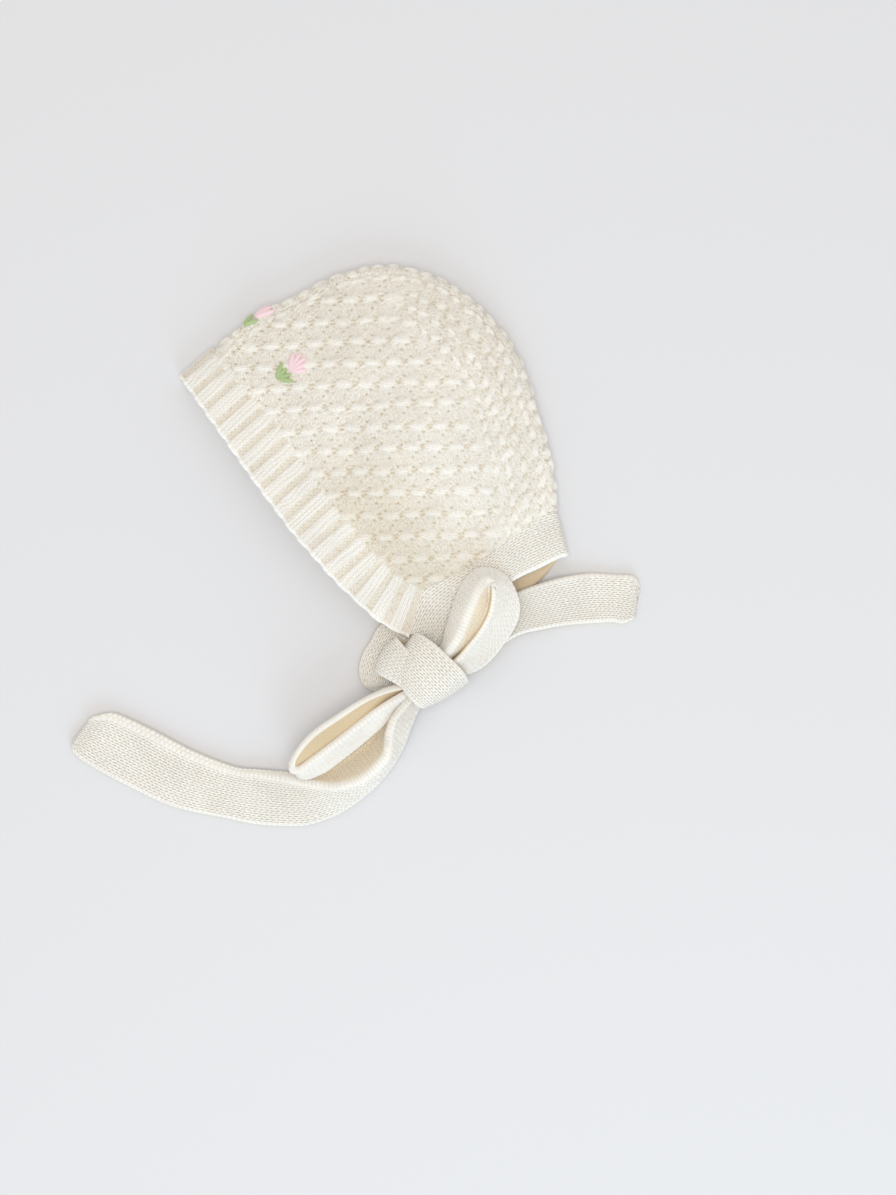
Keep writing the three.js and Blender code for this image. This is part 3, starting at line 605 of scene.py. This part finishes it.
def neckObject():
    # the plain band: near layer from the knot to the nape, round the fold, far layer
    z = lambda p: float(upperTop(*p)) - hood["wall"] / 2 + 0.5
    nearA = [(a[0] - 3, a[1], z(a) - 1.2) for a, b in neck["near"]]
    nearB = [(*b, z(b)) for a, b in neck["near"]]
    far = hood["farMiddle"]
    farA, farB = [(*a, far) for a, b in neck["far"]], [(*b, far) for a, b in neck["far"]]
    railA, railB = foldedBand(nearA, nearB, farA, farB, *neck["nape"], (0.48, 0.88), neck["foldRadius"])
    mid, run, share = railGrid(railA, railB, *neck["spacing"], neck["nearShare"], neck["wide"], 3)
    width = neck["columns"] * stitch["column"]
    across = share * width
    height, hollow = plainKnit(across, run)
    near, beads = selvedge(across, width, run, neck["bead"], neck["beadReach"])
    near = near * (share > 0.5)   # only the free edge has edge stitches
    height = height * (1 - near) + near * (0.2 + 0.5 * beads)
    hollow = hollow * (1 - near) + near * 0.3 * (1 - beads)
    # painted shade in the hollows, and on the inner side
    return sheetObject("neckBand", mid, neck["wall"], height, 0, hollow, 0.6, (across, run), 3,
                       plain=1 - near)


# The ties, a section in each row: edge a (x, y, z), edge b (x, y, z), how far it bows, the height of the
# ridge on it, and the ridge's place, from 0 at edge a to 1 at edge b.
farTie = [
    (150.5, 3, 4, 169, 5, 5, 0, 0, 0.5), (149.2, -6.2, 2.6, 168, -1.2, 3.4, 0.5, 0, 0.5),
    (151.8, -14, 2, 171, -8.5, 3, 0.8, 0, 0.5), (154.5, -22, 2, 173, -15, 3, 1, 0, 0.5),
    (159.5, -28, 2.4, 174.5, -18.5, 4, 1, 0, 0.5), (166, -30.5, 3, 176, -20, 5, 0.6, 0, 0.5),
    (172, -28, 5, 179, -16, 7, 0, 0, 0.5),
]
rightTail = [
    (179, 6, 6, 190, 6, 6.5, 0, 0, 0.5), (177.5, 14, 5, 192.5, 14, 5.6, 0, 0, 0.5),
    (177.8, 25, 5, 193.8, 25, 5.2, 0.3, 0, 0.5), (178.4, 40, 5, 196, 40, 4.8, 0.6, 0, 0.5),
    (180, 53, 5, 202, 51.5, 4, 1, 0, 0.5), (183.5, 62.5, 5.2, 206.5, 59, 2.6, 1.3, 0, 0.5),
    (188.5, 73, 4.6, 211.5, 66, 2, 1.4, 0, 0.5), (195.5, 84, 2.6, 216.5, 72.5, 1.8, 1.2, 0, 0.5),
    (204, 93, 1.9, 221, 78, 1.8, 1.0, 0, 0.5), (211, 99.6, 1.8, 224.5, 81, 1.8, 0.8, 0, 0.5),
    (216.2, 98.8, 1.7, 225.8, 84.8, 1.7, 0.5, 0, 0.5), (218.6, 96, 1.6, 226, 87.6, 1.6, 0.3, 0, 0.5),
]
leftTail = [
    (183, -12, 10, 190, -12, 10, 0, 2, 0.1), (184.5, -19.5, 8, 191, -19.3, 7, 0, 5, 0.06),
    (185.5, -28, 4, 194.8, -27.5, 5, 0, 9, 0.1), (186, -36, 2, 198.8, -35, 3, 0, 10.5, 0.36),
    (186, -43, 1.6, 201.6, -43, 2, 0, 10.5, 0.68), (186, -50, 1.6, 203.4, -50, 1.8, 0, 10, 0.70),
    (185.6, -56, 1.6, 204.3, -56, 1.6, 0, 9.6, 0.68), (184.8, -62, 1.6, 204.6, -62, 1.6, 0, 9, 0.63),
    (182.8, -71, 1.6, 204.3, -73, 1.6, 0, 8, 0.45), (179.5, -79, 1.6, 202.4, -83, 1.6, 0, 6, 0.2),
    (175.5, -83.5, 1.6, 197.6, -94.5, 1.6, 0, 4, 0.1), (170, -88, 1.6, 190.2, -103.5, 1.6, 0.2, 2.4, 0.1),
    (163, -94, 1.6, 180.6, -113, 1.6, 0.5, 1.2, 0.1), (156, -100.6, 1.6, 170, -121, 1.6, 0.7, 0.6, 0.1),
    (138, -110.6, 1.6, 149, -136.5, 1.6, 0.8, 0.3, 0.1), (115, -119.8, 1.6, 124, -147.5, 1.6, 0.8, 0.2, 0.1),
    (104, -124.6, 1.6, 112, -152, 1.6, 0.7, 0.2, 0.1), (97, -128.6, 1.6, 103, -154.6, 1.6, 0.5, 0.2, 0.1),
    (93.4, -134.4, 1.6, 97.2, -154.6, 1.6, 0.3, 0, 0.1), (91.8, -138.4, 1.5, 94.4, -151.4, 1.5, 0.2, 0, 0.1),
]
upperLoop = [
    (184, 3, 12, 174, 2, 11, 0, 2, 0.5), (183.5, 9, 14, 176.5, 8.7, 11, 0, 5, 0.5),
    (183.2, 16, 17.4, 171.6, 17, 11.6, 0, 7, 0.44), (182.2, 26, 19, 167.5, 23.5, 12.2, 0, 8, 0.52),
    (179.4, 34.5, 20.6, 162.4, 32.5, 13, 0, 8.4, 0.54), (174.8, 41, 22, 159.8, 40.5, 13.6, 0, 7.6, 0.52),
    (170.4, 44.4, 23.6, 160.4, 46.5, 13.8, 0, 5, 0.40), (169.5, 45.4, 24.6, 164, 50.4, 13.6, 0, 3.4, 0.28),
    (171.8, 44, 24.8, 171, 53.6, 13.4, -0.6, 1.2, 0.2), (175.2, 40.6, 24.2, 179.5, 52.6, 12.8, -1.2, 0, 0.2),
    (178.6, 35.8, 23.2, 187, 48.6, 11.6, -1.8, 0, 0.2), (181, 30, 22.2, 191.4, 42, 10, -2, 0, 0.2),
    (182.6, 24, 21.2, 194, 33.4, 9.4, -2, 0, 0.2), (183.4, 19, 20.2, 195.8, 25, 9.2, -2, 0, 0.2),
    (184, 15.6, 19.4, 196, 18, 9.2, -1.6, 0, 0.2), (184.4, 12, 19, 194.4, 12, 9.4, -1, 0, 0.2),
    (184, 4, 14, 190, 4, 10, 0, 0, 0.2),
]
lowerLoop = [
    (179, -14, 13, 181, -14, 8, 0, 0, 0.5), (173.4, -24, 16.5, 179.6, -24, 9, 0.6, 0, 0.5),
    (169.8, -34, 18, 180, -34, 10.4, 1.4, 0, 0.5), (167.4, -48, 19, 180, -48, 10.4, 2, 0, 0.5),
    (165.8, -62, 19, 179, -61, 10.4, 2, 0, 0.5), (167, -72, 18.6, 177.6, -70.6, 10, 1.6, 0, 0.5),
    (169.4, -78.2, 18, 175.6, -76.4, 9, 1.0, 0, 0.5), (172.8, -80.8, 17.4, 175.2, -80.6, 7, 0.6, 0, 0.5),
    (175, -78.2, 17.4, 179.6, -80.6, 7, 0.8, 0, 0.5), (175.8, -70, 18, 183.8, -72.4, 8, 1.2, 0, 0.5),
    (176.6, -60, 18.4, 185.2, -60, 8, 1.4, 0, 0.5), (177.4, -48, 18.4, 185.8, -48, 8, 1.4, 0, 0.5),
    (178, -36, 18.2, 185.6, -36, 8, 1, 0, 0.5), (179.4, -26, 17.6, 184.2, -26, 8, 0.4, 0, 0.5),
    (182, -14, 14, 183, -14, 8, 0, 0, 0.5),
]
knotWrap = [
    (167, 4, 3.2, 178, -15, 3.2, -1, 0, 0.5), (164.4, 4.6, 9, 175.4, -16, 9, -2.6, 0, 0.5),
    (166.6, 6.4, 16, 177, -16.6, 14.5, -2.8, 0, 0.5), (173, 8, 19.4, 180.8, -17.2, 17.2, -2.4, 0, 0.5),
    (182, 9, 19.8, 185, -17.6, 17.4, -2, 0, 0.5), (190.6, 9.6, 17.6, 189, -17.2, 15, -1.6, 0, 0.5),
    (195, 8.6, 12, 190.6, -16, 10.5, -1.4, 0, 0.5), (194.6, 7.6, 4.5, 189.8, -15, 4.5, -1, 0, 0.5),
]
knotTuck = [
    (168, -1, 4, 178, -16, 4, -0.6, 0, 0.5), (162, -2.6, 5, 170, -20.8, 4.4, -1.8, 0, 0.5),
    (160.2, -3.6, 9, 165.6, -21.4, 8.6, -2.4, 0, 0.5), (162, -3.6, 13.6, 168, -20.6, 12.6, -2.2, 0, 0.5),
    (167, -3.6, 16.2, 174, -18.4, 15.2, -1, 0, 0.5), (174, -4, 16.6, 181, -16.6, 15.6, 0, 0, 0.5),
]


def turned(rows):
    # the same shape with its edges exchanged, so that its right side faces the other way
    return [(*r[3:6], *r[:3], -r[6], r[7], 1 - r[8]) for r in rows]


sheets = {
    # piece: CAD node, how it is made, cut size (width, length) in metres, how it is held, what it lies on
    "crownNear": (["crown"], crownObject, (0.150, 0.135), "folded", ["crownFar"]),
    "crownFar": (["crown"], crownFarObject, (0.150, 0.115), "laid", []),
    "brimBand": (["brim"], brimObject, (0.024, 0.330), "folded", []),
    "neckBand": (["neck_band"], neckObject, (0.020, 0.180), "folded", []),
    "farTie": (["far_tie"], lambda: tieObject("farTie", farTie, columns=10, stride=2),
               (0.021, 0.050), "laid", []),
    "rightTail": (["right_tail"], lambda: tieObject("rightTail", turned(rightTail), stride=3),
                  (0.023, 0.115), "laid", []),
    "leftTail": (["left_tail"], lambda: tieObject("leftTail", leftTail, columns=12, stride=3, roll=1.0),
                 (0.026, 0.195), "laid", []),
    "upperLoop": (["upper_loop"], lambda: tieObject("upperLoop", upperLoop, columns=10, purlInside=True,
                                                    legWeight=0.7),
                  (0.020, 0.110), "gathered", []),
    "lowerLoop": (["lower_loop"], lambda: tieObject("lowerLoop", turned(lowerLoop), columns=10, roll=0.6,
                                                    rollLast=True, rollUntil=0.5, purlInside=True,
                                                    legWeight=0.5),
                  (0.020, 0.150), "gathered", []),
    "knotWrap": (["knot_wrap"], lambda: tieObject("knotWrap", turned(knotWrap), columns=12, stride=2),
                 (0.025, 0.055), "folded", []),
    "knotTuck": (["knot_tuck"], lambda: tieObject("knotTuck", turned(knotTuck), columns=9, stride=2),
                 (0.018, 0.030), "folded", []),
}


# The materials.

def linear(r, g, b):
    # a colour as picked on screen, in the linear values the shader takes
    return tuple(((c / 255 + 0.055) / 1.055) ** 2.4 for c in (r, g, b)) + (1.0,)


def calculator(tree):
    # short way to add a Math node to a node tree: calc("MULTIPLY", socketOrNumber, socketOrNumber)
    def calc(operation, *values):
        node = tree.nodes.new("ShaderNodeMath")
        node.operation = operation
        for socket, value in zip(node.inputs, values):
            if isinstance(value, (int, float)):
                socket.default_value = value
            else:
                tree.links.new(value, socket)
        return node.outputs[0]
    return calc


def ramp(tree, value, low, high, start=0.0, end=1.0):
    node = tree.nodes.new("ShaderNodeMapRange")
    node.interpolation_type = "SMOOTHSTEP"
    node.inputs["From Min"].default_value, node.inputs["From Max"].default_value = low, high
    node.inputs["To Min"].default_value, node.inputs["To Max"].default_value = start, end
    tree.links.new(value, node.inputs["Value"])
    return node.outputs["Result"]


def noiseNode(tree, place, **values):
    node = tree.nodes.new("ShaderNodeTexNoise")
    for socket, value in values.items():
        node.inputs[socket].default_value = value
    tree.links.new(place, node.inputs["Vector"])
    return node


def stitchLegs():
    # shared: the legs of V stitches as relief, and where painted shade goes between them, from the piece's
    # own stitch map
    group = bpy.data.node_groups.new("stitchLegs", "ShaderNodeTree")
    io = group.interface
    for name, way in [("Column", "INPUT"), ("Row", "INPUT"), ("Gap Shade", "OUTPUT"), ("Height", "OUTPUT")]:
        io.new_socket(name, in_out=way, socket_type="NodeSocketFloat")
    n, link, calc = group.nodes, group.links.new, calculator(group)
    inp, out = n.new("NodeGroupInput"), n.new("NodeGroupOutput")
    uv = n.new("ShaderNodeUVMap")
    uv.uv_map = "knitUv"
    wobble = noiseNode(group, uv.outputs["UV"], Scale=420, Detail=1)
    parts = n.new("ShaderNodeSeparateXYZ")
    link(uv.outputs["UV"], parts.inputs["Vector"])
    shift = calc("SUBTRACT", wobble.outputs["Fac"], 0.5)
    p = calc("ADD", calc("DIVIDE", parts.outputs["X"], inp.outputs["Column"]), calc("MULTIPLY", shift, 0.35))
    q = calc("ADD", calc("DIVIDE", parts.outputs["Y"], inp.outputs["Row"]), calc("MULTIPLY", shift, 0.7))
    leg = calc("MULTIPLY", calc("ABSOLUTE", calc("SUBTRACT", calc("FRACT", p), 0.5)), 2.0)
    wave = calc("COSINE", calc("MULTIPLY", q, 2 * math.pi))
    inV = calc("MULTIPLY", ramp(group, leg, 0.32, 0.04), ramp(group, wave, -1.0, 0.5))
    beside = calc("MULTIPLY", ramp(group, leg, 0.72, 0.98), ramp(group, wave, 1.0, -0.5))
    chevron = calc("COSINE", calc("MULTIPLY", calc("ADD", q, calc("MULTIPLY", leg, 0.45)), 2 * math.pi))
    between = calc("MULTIPLY", ramp(group, chevron, -0.5, -1.0), 0.35)
    gap = calc("MAXIMUM", calc("MAXIMUM", inV, beside), between)
    middle = calc("SUBTRACT", calc("MULTIPLY", leg, 2.0), 1.0)
    bulge = calc("SUBTRACT", 1.0, calc("MULTIPLY", middle, middle))
    slant = calc("ADD", calc("MULTIPLY", q, 5.0), calc("MULTIPLY", leg, 1.3))
    ply = calc("SINE", calc("MULTIPLY", slant, 2 * math.pi))
    body = calc("MULTIPLY", calc("SUBTRACT", 1.0, gap), calc("MULTIPLY_ADD", bulge, 0.45, 0.55))
    link(gap, out.inputs["Gap Shade"])
    link(calc("MULTIPLY_ADD", ply, 0.06, body), out.inputs["Height"])
    return group


def yarnSurface():
    # shared: colour and relief of yarn, with painted shade from the hollows and the small crevices, and fine
    # fibres over it
    group = bpy.data.node_groups.new("yarnSurface", "ShaderNodeTree")
    io = group.interface
    for name, kind in [("Light", "Color"), ("Shade Colour", "Color"), ("Hollow Shade", "Float"), ("Relief", "Float"),
                       ("Crevice Shade", "Float"), ("Fibre Scale", "Float"), ("Fibre Strength", "Float")]:
        io.new_socket(name, in_out="INPUT", socket_type="NodeSocket" + kind)
    io.new_socket("Colour", in_out="OUTPUT", socket_type="NodeSocketColor")
    io.new_socket("Normal", in_out="OUTPUT", socket_type="NodeSocketVector")
    n, link, calc = group.nodes, group.links.new, calculator(group)
    inp, out = n.new("NodeGroupInput"), n.new("NodeGroupOutput")
    coords = n.new("ShaderNodeTexCoord")
    fibre = noiseNode(group, coords.outputs["Object"], Detail=3, Roughness=0.65)
    link(inp.outputs["Fibre Scale"], fibre.inputs["Scale"])
    patch = noiseNode(group, coords.outputs["Object"], Scale=55, Detail=2)
    speck = noiseNode(group, coords.outputs["Object"], Scale=800, Detail=1.5, Distortion=0.8)
    grain = calc("SUBTRACT", fibre.outputs["Fac"], 0.5)
    # painted shade as fine specks in the small crevices, added to the painted shade of the hollows; the
    # fibres add random tone
    speckledShade = calc("MULTIPLY", ramp(group, speck.outputs["Fac"], 0.50, 0.70), inp.outputs["Crevice Shade"])
    deep = calc("ADD", calc("ADD", inp.outputs["Hollow Shade"], speckledShade), calc("MULTIPLY", grain, 0.40))
    shade = n.new("ShaderNodeMix")
    shade.data_type = "RGBA"
    shade.clamp_factor = True
    link(deep, shade.inputs["Factor"])
    link(inp.outputs["Light"], shade.inputs["A"])
    link(inp.outputs["Shade Colour"], shade.inputs["B"])
    tone = n.new("ShaderNodeHueSaturation")
    link(ramp(group, patch.outputs["Fac"], 0.3, 0.7, 0.965, 1.02), tone.inputs["Value"])
    link(shade.outputs["Result"], tone.inputs["Color"])
    bump = n.new("ShaderNodeBump")
    bump.inputs["Distance"].default_value = 0.0005
    link(inp.outputs["Fibre Strength"], bump.inputs["Strength"])
    relief = calc("ADD", inp.outputs["Relief"], calc("MULTIPLY", fibre.outputs["Fac"], 0.5))
    link(relief, bump.inputs["Height"])
    link(tone.outputs["Color"], out.inputs["Colour"])
    link(bump.outputs["Normal"], out.inputs["Normal"])
    return group


legs = stitchLegs()
yarn = yarnSurface()


def attributeOf(tree, name):
    node = tree.nodes.new("ShaderNodeAttribute")
    node.attribute_name = name
    return node.outputs["Fac"]


yarns = {
    # light: the yarn itself; deep: the painted shade in its hollows; inside: painted shade on the ties'
    # inner side, and the painted shade between the stitches' legs, for a knitted yarn
    "ivoryKnit": {"light": (255, 254, 250), "deep": (211, 196, 169), "inside": (252, 241, 222), "gapShade": 0.85,
                  "fibreScale": 1500, "fibreStrength": 0.7, "sheen": 0.35},
    "pinkFloss": {"light": (250, 222, 227), "deep": (228, 172, 184),
                  "fibreScale": 2600, "fibreStrength": 0.5, "sheen": 0.2},
    "greenFloss": {"light": (180, 200, 146), "deep": (128, 152, 96),
                   "fibreScale": 2600, "fibreStrength": 0.5, "sheen": 0.2},
}


def yarnMaterial(name):
    look = yarns[name]
    material = bpy.data.materials.new(name)
    material.use_nodes = True
    tree = material.node_tree
    n, link, calc = tree.nodes, tree.links.new, calculator(tree)
    shader = n["Principled BSDF"]
    shader.inputs["Roughness"].default_value = 0.92
    shader.inputs["Specular IOR Level"].default_value = 0.2
    shader.inputs["Sheen Weight"].default_value = look["sheen"]
    shader.inputs["Sheen Roughness"].default_value = 0.5
    surface = n.new("ShaderNodeGroup")
    surface.node_tree = yarn
    surface.inputs["Light"].default_value = linear(*look["light"])
    surface.inputs["Shade Colour"].default_value = linear(*look["deep"])
    surface.inputs["Fibre Scale"].default_value = look["fibreScale"]
    surface.inputs["Fibre Strength"].default_value = look["fibreStrength"]
    colour = surface.outputs["Colour"]
    if "inside" in look:
        stitches = n.new("ShaderNodeGroup")
        stitches.node_tree = legs
        stitches.inputs["Column"].default_value = stitch["column"] / 1000
        stitches.inputs["Row"].default_value = stitch["row"] / 1000
        plain = attributeOf(tree, "plain")
        # painted shade between the stitches' legs, added to the painted shade of the hollows
        gap = calc("MULTIPLY", calc("MULTIPLY", stitches.outputs["Gap Shade"], plain), look["gapShade"])
        link(calc("ADD", attributeOf(tree, "hollow"), gap), surface.inputs["Hollow Shade"])
        link(calc("MULTIPLY", stitches.outputs["Height"], plain), surface.inputs["Relief"])
        link(attributeOf(tree, "creviceShade"), surface.inputs["Crevice Shade"])
        # painted shade on the ties' inside and on the walls' inner side
        insideShade = n.new("ShaderNodeMix")
        insideShade.data_type, insideShade.blend_type = "RGBA", "MULTIPLY"
        link(attributeOf(tree, "inside"), insideShade.inputs["Factor"])
        link(colour, insideShade.inputs["A"])
        insideShade.inputs["B"].default_value = linear(*look["inside"])
        colour = insideShade.outputs["Result"]
    link(colour, shader.inputs["Base Color"])
    link(surface.outputs["Normal"], shader.inputs["Normal"])
    return material


ivory, pink, green = (yarnMaterial(name) for name in yarns)
print("materials made")

for name, (nodes, make, flat, held, lies) in sheets.items():
    piece = make()
    piece.data.materials.append(ivory)
    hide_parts(*nodes)
    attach(piece, "root")
    print(name, len(piece.data.polygons), "faces")


# The rosebuds, in satin strands: foot and tip of each strand, and its half width.

buds = {
    "sidePetals": [((31.4, 41.5), (27.6, 47.4), 1.25), ((31.8, 41.5), (29.8, 49.4), 1.3),
                   ((32.4, 41.5), (32.4, 50), 1.3), ((33, 41.5), (35, 49), 1.3),
                   ((33.4, 41.5), (37, 46.6), 1.2)],
    "sideLeaves": [((30.4, 34.6), (27.4, 40.2), 1.3), ((30.8, 34.8), (30.4, 40.4), 1.25),
                   ((31.2, 34.8), (33.6, 39.6), 1.2), ((31.4, 34.6), (36.6, 38.4), 1.25)],
    # on the forehead fold: y and how far round the fold
    "topPetals": [((46.4, 48), (52.6, 22), 1.3), ((46.2, 52), (53.8, 44), 1.3),
                  ((46.2, 58), (53.6, 68), 1.3)],
    "topLeaves": [((39.4, 50), (45, 30), 1.1), ((39.4, 54), (44.6, 72), 1.1)],
    "proud": 6.0,    # from the fold's axis to the strands, less their thickness
    "raised": 0.7,   # share of its half width that a strand's middle stands off the knitting
}


def onHood(x, y, half):
    return np.array([x, y, float(layHeight(x, y)) + half * buds["raised"]])


def onFold(y, turn, half):
    side = np.interp(y, [p[1] for p in hood["foldEdge"]], [p[0] for p in hood["foldEdge"]])
    t, r = math.radians(turn), hood["foldRadius"]
    out = buds["proud"] + half * buds["raised"]
    return np.array([side + r - out * math.cos(t), y, r + out * math.sin(t)])


def strandObject(foot, tip, half):
    # one satin strand: a ball drawn out to a bead, its ends pulled fine
    bpy.ops.object.select_all(action="DESELECT")
    bpy.ops.mesh.primitive_uv_sphere_add(segments=14, ring_count=10, radius=1)
    bead = bpy.context.object
    length = np.linalg.norm(tip - foot)
    bpy.ops.object.mode_set(mode="EDIT")
    bpy.ops.mesh.select_all(action="SELECT")
    bpy.ops.transform.resize(value=(half / 1000, half / 1000, (length / 2 + half * 0.6) / 1000))
    bpy.ops.mesh.subdivide(number_cuts=1, smoothness=0.6)
    bpy.ops.object.mode_set(mode="OBJECT")
    direction = Vector((tip - foot).tolist()).normalized()
    bead.rotation_mode = "QUATERNION"
    bead.rotation_quaternion = direction.to_track_quat("Z", "Y")
    bead.location = Vector(toPart((foot + tip) / 2).tolist())
    bpy.ops.object.transform_apply(location=True, rotation=True, scale=True)
    bpy.ops.object.shade_smooth()
    return bead


def budObject(name, strands, place, node, material):
    beads = [strandObject(place(*foot, half), place(*tip, half), half) for foot, tip, half in strands]
    bpy.ops.object.select_all(action="DESELECT")
    for bead in beads:
        bead.select_set(True)
    bpy.context.view_layer.objects.active = beads[0]
    bpy.ops.object.join()
    piece = bpy.context.object
    piece.name = piece.data.name = name
    piece.data.materials.clear()
    piece.data.materials.append(material)
    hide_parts(node)
    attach(piece, "root")


budObject("sideBudPetals", buds["sidePetals"], onHood, "side_bud_petals", pink)
budObject("sideBudLeaves", buds["sideLeaves"], onHood, "side_bud_leaves", green)
budObject("topBudPetals", buds["topPetals"], onFold, "top_bud_petals", pink)
budObject("topBudLeaves", buds["topLeaves"], onFold, "top_bud_leaves", green)
print("rosebuds made")

# Floor, camera and light.

stageSet = {
    "floor": (226, 226, 228), "floorSize": 6.0,
    "aim": (0.0481, 0.0400, 0.010), "distance": 1.10, "lens": 70.5, "turn": 48.8,
    # lights: power, size, place from the aim, colour
    "keyLight": (8.6, 0.9, (1.35, -0.7, 0.7), (0.56, 0.80, 1.0)),
    "fillLight": (11.8, 1.2, (0.15, -0.1, 1.9), (1.0, 0.97, 0.935)),
    "world": 0.70, "worldColour": (1.0, 0.985, 0.965, 1),
}

bpy.ops.object.select_all(action="DESELECT")
bpy.ops.mesh.primitive_plane_add(size=stageSet["floorSize"], location=(0, 0, 0))
floor = bpy.context.object
floor.name = "floor"
paleFloor = bpy.data.materials.new("paleFloor")
paleFloor.use_nodes = True
matt = paleFloor.node_tree.nodes["Principled BSDF"]
matt.inputs["Base Color"].default_value = linear(*stageSet["floor"])
matt.inputs["Roughness"].default_value = 0.9
matt.inputs["Specular IOR Level"].default_value = 0.1
floor.data.materials.append(paleFloor)

cameraData = bpy.data.cameras.new("camera")
cameraData.lens = stageSet["lens"]
cameraData.sensor_width = 36
camera = bpy.data.objects.new("camera", cameraData)
bpy.context.collection.objects.link(camera)
camera.location = Vector(stageSet["aim"]) + Vector((0, 0, stageSet["distance"]))
camera.rotation_euler = (0, 0, math.radians(stageSet["turn"]))
bpy.context.scene.camera = camera


def softLight(name, power, size, place, colour):
    data = bpy.data.lights.new(name, "AREA")
    data.energy, data.size, data.color = power, size, colour
    light = bpy.data.objects.new(name, data)
    bpy.context.collection.objects.link(light)
    light.location = Vector(stageSet["aim"]) + Vector(place)
    light.rotation_euler = (-Vector(place)).to_track_quat("-Z", "Y").to_euler()


softLight("keyLight", *stageSet["keyLight"])
softLight("fillLight", *stageSet["fillLight"])
world = bpy.data.worlds.new("room")
world.use_nodes = True
background = world.node_tree.nodes["Background"]
background.inputs["Color"].default_value = stageSet["worldColour"]
background.inputs["Strength"].default_value = stageSet["world"]
bpy.context.scene.world = world
bpy.context.scene.view_settings.view_transform = "Standard"
print("camera and light set")
